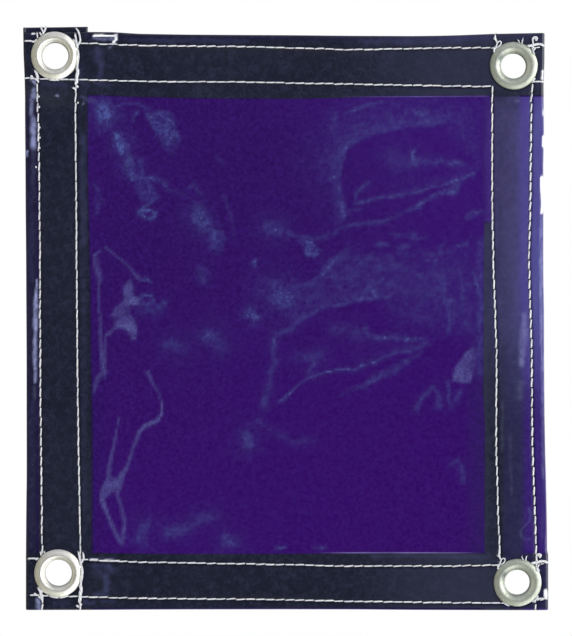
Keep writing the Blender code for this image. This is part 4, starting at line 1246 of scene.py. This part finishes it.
def film_material():
    material, tree, shader = new_material("violet_vinyl")
    place = object_place(tree)
    axes = tree.nodes.new("ShaderNodeSeparateXYZ")
    tree.links.new(place, axes.inputs[0])
    x, z = axes.outputs["X"], axes.outputs["Z"]
    over_tape, dark, strip_reflection, painted_reflection, hem_sheen, crease_highlight, glare, seam_shade, lip_highlight = (
        number_field(tree, name)
        for name in ("over_tape", "dark", "strip_reflection", "painted_reflection", "hem_sheen", "crease_highlight", "glare", "seam_shade", "lip_highlight"))
    glint = calculate(tree, "MINIMUM", number_field(tree, "glint"), 1.0)
    broad = noise(tree, place, 0.06, 2.0)
    mottle = noise(tree, place, 0.0034, 4.0, 0.6)
    speck = noise(tree, place, 0.0015, 2.0, 1.0)
    fine = noise(tree, place, 0.0015, 3.0, 1.2)
    low_down = rescale(tree, z, -0.05, 0.02, 0.8, 0.0)

    # Clear film: duller at the upper left, brighter at the upper right, darker by the side tapes
    dull = minus(tree, z, times(tree, x, 0.6))
    upper_right = plus(tree, x, times(tree, z, 0.7))
    violet = blend_colours(tree, rescale(tree, dull, -0.08, 0.10), paint(49, 4, 97), paint(43, 8, 86))
    violet = layered(
        tree, violet,
        (rescale(tree, upper_right, 0.04, 0.15, 0.0, 0.9), (53, 11, 107)),
        (times(tree, rescale(tree, x, 0.092, 0.107), low_down), (38, 30, 78)),
        (times(tree, rescale(tree, x, -0.103, -0.090, 0.6, 0.0), low_down), (26, 12, 74)),
        (times(tree, rescale(tree, x, 0.124, 0.1285), low_down), (41, 6, 95)),
        (rescale(tree, broad, 0.3, 0.7, 0.0, 0.25), (46, 10, 94)),
        (rescale(tree, speck, 0.38, 0.62, 0.0, 0.60), (60, 27, 116)),
    )

    # Hems: film over black tape, paler towards the right, though not down the right hem
    cloudy = rescale(tree, broad, 0.35, 0.65)
    hem_dark = blend_colours(tree, cloudy, paint(19, 22, 33), paint(23, 26, 37))
    right_hem = times(tree, rescale(tree, x, 0.104, 0.110), rescale(tree, z, 0.115, 0.125, 1.0, 0.0))
    right_hem = times(tree, right_hem, rescale(tree, z, -0.13, -0.12, 0.0, 0.75))
    along_right = minus(tree, rescale(tree, x, 0.02, 0.10, 0.0, 0.84), right_hem, True)
    hem_dark = layered(
        tree, hem_dark,
        (along_right, (41, 43, 60)),
        (times(tree, rescale(tree, x, 0.1145, 0.1175), low_down), (31, 27, 62)),
        (rescale(tree, mottle, 0.40, 0.75, 0.0, 0.26), (54, 56, 80)),
        (rescale(tree, fine, 0.36, 0.66, 0.0, 0.13), (62, 64, 92)),
    )
    colour = blend_colours(tree, dark, violet, hem_dark)

    # Bluish painted reflections, painted highlights along the creases, and painted sheen on the hems
    patchy = times(tree, painted_reflection, rescale(tree, mottle, 0.32, 0.66, 0.55, 1.20))
    patchy = times(tree, patchy, rescale(tree, fine, 0.34, 0.66, 0.50, 1.28), True)
    streaks = times(tree, crease_highlight, rescale(tree, fine, 0.34, 0.66, 0.60, 1.10), True)
    whitened = larger(tree, patchy, streaks)
    hem_sheen = times(tree, hem_sheen, rescale(tree, mottle, 0.3, 0.7, 0.8, 1.1))
    colour = layered(
        tree, colour,
        (patchy, (72, 84, 154)),
        (times(tree, streaks, 0.8), (90, 90, 158)),
        (hem_sheen, (88, 92, 142)),
    )

    # Painted reflection whitening the film beyond the right tape
    reflecting_strip = times(tree, strip_reflection, rescale(tree, mottle, 0.25, 0.75, 0.88, 1.06), True)
    outward = rescale(tree, x, 0.117, 0.131)
    reflection_colour = blend_colours(tree, outward, paint(78, 70, 122), paint(78, 80, 132))
    colour = blend_colours(tree, reflecting_strip, colour, reflection_colour)

    # Painted glare, painted shade in the rows' grooves and round the flanges, painted highlights where
    # the film steps over a tape's edge, and painted glints
    shine = times(tree, glare, rescale(tree, mottle, 0.3, 0.65, 0.45, 1.0), True)
    from_low_lip = calculate(tree, "ABSOLUTE", minus(tree, z, LOW_LIP_HEIGHT))
    from_high_lip = minus(tree, z, times(tree, x, TOP_TAPE_SLANT))
    from_high_lip = calculate(tree, "ABSOLUTE", minus(tree, from_high_lip, HIGH_LIP_HEIGHT))
    from_lip = calculate(tree, "MINIMUM", from_low_lip, from_high_lip)
    lip_highlight = times(tree, lip_highlight, rescale(tree, from_lip, 0.0001, 0.0005, 1.0, 0.0))
    colour = layered(
        tree, colour,
        (shine, (158, 164, 206)),
        (times(tree, seam_shade, 0.8), (7, 8, 20)),
        (times(tree, lip_highlight, 0.55), (150, 140, 190)),
        (glint, (250, 250, 252)),
    )
    tree.links.new(colour, shader.inputs["Base Color"])

    # Light comes through the clear film only
    backed = times(tree, rescale(tree, x, 0.122, 0.1255, 0.0, 1.05), low_down)
    opaque = times(tree, whitened, 0.45)
    for cover in (times(tree, over_tape, 0.92), backed, times(tree, reflecting_strip, 3.4, True),
                  larger(tree, shine, glint)):
        opaque = larger(tree, opaque, cover)
    opaque = larger(tree, opaque, times(tree, lip_highlight, 0.8), True)
    tree.links.new(minus(tree, 1.0, opaque), shader.inputs["Transmission Weight"])
    gloss = plus(tree, rescale(tree, mottle, 0.2, 0.8, 0.10, 0.19), times(tree, whitened, 0.2))
    tree.links.new(gloss, shader.inputs["Roughness"])
    shader.inputs["IOR"].default_value = 1.5
    swell = times(tree, noise(tree, place, 0.009, 2.0), 2.2)
    ripples = plus(tree, plus(tree, mottle, swell), times(tree, streaks, 0.8))
    relief(tree, shader, ripples, 0.00006, 0.6)
    return material


def tape_material():
    material, tree, shader = new_material("black_webbing")
    place = object_place(tree)
    bands = []
    for direction in ("X", "Z"):
        weave = tree.nodes.new("ShaderNodeTexWave")
        weave.bands_direction = direction
        weave.inputs["Scale"].default_value = 330.0
        weave.inputs["Distortion"].default_value = 0.6
        tree.links.new(place, weave.inputs["Vector"])
        bands.append(weave.outputs["Fac"])
    weft = times(tree, bands[0], bands[1])
    lint = noise(tree, place, 0.0006, 4.0)
    shade = times(tree, weft, rescale(tree, lint, 0.3, 0.7, 0.5, 1.0))
    colour = blend_colours(tree, shade, paint(14, 14, 18), paint(46, 46, 54))
    tree.links.new(colour, shader.inputs["Base Color"])
    tree.links.new(rescale(tree, lint, 0.2, 0.8, 0.65, 0.9), shader.inputs["Roughness"])
    shader.inputs["Sheen Weight"].default_value = 0.3
    relief(tree, shader, weft, 0.00012)
    return material


def thread_material():
    material, tree, shader = new_material("white_thread")
    place = object_place(tree)
    turned_by = times(tree, number_field(tree, "twist"), 2.0 * math.pi)
    twist = calculate(tree, "SINE", turned_by)
    fuzz = noise(tree, place, 0.00035, 4.0)
    grime_and_shade = noise(tree, place, 0.012, 3.0)
    dirt = rescale(tree, grime_and_shade, 0.3, 0.7, 0.3, 0.9)
    worn = times(tree, number_field(tree, "shade"), dirt)
    colour = blend_colours(tree, worn, paint(240, 240, 236), paint(206, 207, 212))
    # Painted shade in the grooves between the plies, then darker fuzz
    colour = layered(
        tree, colour,
        (rescale(tree, twist, -1.0, 0.1, 0.45, 0.0), (120, 120, 140)),
        (rescale(tree, fuzz, 0.5, 0.75, 0.0, 0.3), (160, 160, 176)),
    )
    tree.links.new(colour, shader.inputs["Base Color"])
    tree.links.new(rescale(tree, fuzz, 0.2, 0.8, 0.5, 0.8), shader.inputs["Roughness"])
    shader.inputs["Sheen Weight"].default_value = 0.2
    height = plus(tree, twist, times(tree, fuzz, 1.2))
    relief(tree, shader, height, 0.00009)
    return material


def metal_material(name, bright, dull, smooth, rough, metallic):
    material, tree, shader = new_material(name)
    place = object_place(tree)
    tarnish = noise(tree, place, 0.0035, 5.0, 0.8)
    pits = noise(tree, place, 0.0007, 3.0)
    brushed_run = noise(tree, place, 0.0018, 2.0, 2.5)
    dulled = plus(tree, rescale(tree, tarnish, 0.38, 0.70, 0.0, 0.6),
                  rescale(tree, pits, 0.62, 0.74, 0.0, 0.3), True)
    colour = blend_colours(tree, dulled, bright, dull)
    # Painted highlight and painted shade from the ring's attributes
    colour = layered(
        tree, colour,
        (times(tree, number_field(tree, "painted_highlight"), 0.7), (246, 247, 240)),
        (number_field(tree, "shaded"), (104, 112, 110)),
    )
    tree.links.new(colour, shader.inputs["Base Color"])
    shader.inputs["Metallic"].default_value = metallic
    worn = plus(tree, times(tree, dulled, rough - smooth), smooth)
    tree.links.new(worn, shader.inputs["Roughness"])
    height = plus(tree, times(tree, pits, -0.6), brushed_run)
    relief(tree, shader, height, 0.00002, 0.5)
    return material


def floor_material():
    material, tree, shader = new_material("pale_floor")
    place = object_place(tree)
    grain = noise(tree, place, 0.15, 4.0)
    colour = blend_colours(tree, grain, paint(236, 236, 236), paint(246, 246, 245))
    tree.links.new(colour, shader.inputs["Base Color"])
    shader.inputs["Roughness"].default_value = 0.7
    tree.links.new(colour, shader.inputs["Emission Color"])
    shader.inputs["Emission Strength"].default_value = 0.38
    return material


# ---------------------------------------------------------------- the studio
FLOOR_RADIUS = 4.2
FLOOR_HEIGHT = -0.6
CAMERA_PLACE = (0.0006, -2.0, 0.0005)
FRAME_HEIGHT = 0.33708
SENSOR = 36.0


def make_floor():
    bm = bmesh.new()
    bmesh.ops.create_circle(bm, cap_ends=True, segments=96, radius=FLOOR_RADIUS)
    mesh = bpy.data.meshes.new("floor")
    bm.to_mesh(mesh)
    bm.free()
    mesh.materials.append(floor_material())
    floor = bpy.data.objects.new("floor", mesh)
    floor.location.z = FLOOR_HEIGHT
    floor.visible_glossy = False
    bpy.context.scene.collection.objects.link(floor)


def make_world():
    """White wherever it is seen directly or through the film, and dimmer where it only lights. In
    the metal it is brightest at the right, and dark ahead."""
    world = bpy.data.worlds.new("studio")
    world.use_nodes = True
    bpy.context.scene.world = world
    tree = world.node_tree
    background = tree.nodes["Background"]
    way = tree.nodes.new("ShaderNodeTexCoord").outputs["Generated"]
    axes = tree.nodes.new("ShaderNodeSeparateXYZ")
    tree.links.new(way, axes.inputs[0])
    x, z = axes.outputs["X"], axes.outputs["Z"]
    ahead = (0.05, 0.05, 0.075, 1.0)
    leftward = plus(tree, times(tree, x, 0.9), times(tree, z, 0.35))
    leftward = times(tree, leftward, -1.0)
    colour = blend_colours(tree, rescale(tree, z, 0.14, 0.45), ahead, (0.50, 0.50, 0.56, 1.0))
    colour = blend_colours(tree, rescale(tree, leftward, 0.14, 0.45), colour, (0.30, 0.29, 0.21, 1.0))
    below = minus(tree, times(tree, x, 0.5), z)
    colour = blend_colours(tree, rescale(tree, below, 0.15, 0.60), colour, (0.62, 0.62, 0.56, 1.0))
    right = minus(tree, x, times(tree, z, 0.25))
    colour = blend_colours(tree, rescale(tree, right, 0.20, 0.48), colour, (1.9, 1.9, 1.9, 1.0))
    rays = tree.nodes.new("ShaderNodeLightPath").outputs
    lit = blend_colours(tree, rays["Is Diffuse Ray"], colour, (0.42, 0.43, 0.50, 1.0))
    seen = larger(tree, rays["Is Camera Ray"], rays["Is Transmission Ray"])
    tree.links.new(blend_colours(tree, seen, lit, (1.0, 1.0, 1.0, 1.0)), background.inputs["Color"])


def add_light(name, place, size, power, colour=(1.0, 1.0, 1.0), mirrored=True):
    light = bpy.data.lights.new(name, "AREA")
    light.size = size
    light.energy = power
    light.color = colour
    lamp = bpy.data.objects.new(name, light)
    lamp.location = place
    lamp.rotation_euler = (-lamp.location).to_track_quat("-Z", "Y").to_euler()
    lamp.visible_glossy = mirrored
    bpy.context.scene.collection.objects.link(lamp)


def make_camera():
    camera = bpy.data.cameras.new("front")
    camera.sensor_width = SENSOR
    camera.lens = SENSOR * -CAMERA_PLACE[1] / FRAME_HEIGHT
    viewer = bpy.data.objects.new("front", camera)
    viewer.location = CAMERA_PLACE
    viewer.rotation_euler = (math.pi / 2, 0.0, 0.0)
    bpy.context.scene.collection.objects.link(viewer)
    bpy.context.scene.camera = viewer


# ---------------------------------------------------------------- everything together
film = make_film(film_material())
webbing = tape_material()
tapes = [make_tape(hem, webbing) for hem in HEMS]
thread = thread_material()
stitches = [piece for row_name in ROWS for piece in make_stitches(row_name, thread)]
# One nickel for all the grommets: the left ones painted brighter and the right ones darker and greener,
# as painted light and shade
left_nickel = metal_material("nickel_painted_lit", paint(250, 249, 240), paint(222, 220, 206),
                             smooth=0.38, rough=0.46, metallic=0.88)
right_nickel = metal_material("nickel_painted_shaded", paint(190, 196, 182), paint(164, 168, 152),
                              smooth=0.36, rough=0.5, metallic=0.74)
back_nickel = metal_material("plain_nickel", paint(228, 227, 218), paint(188, 187, 176),
                             smooth=0.3, rough=0.45, metallic=0.85)
metalwork = make_grommets(left_nickel, right_nickel, back_nickel)

make_floor()
make_world()
add_light("key", (0.9, -1.3, 0.8), 0.7, 16.0, mirrored=False)
add_light("fill", (-1.2, -1.2, 0.3), 0.9, 6.0, (0.9, 0.93, 1.0), mirrored=False)
add_light("right_edge", (1.6, -0.25, 0.2), 0.8, 10.0)
make_camera()
bpy.context.scene.view_settings.view_transform = "Standard"
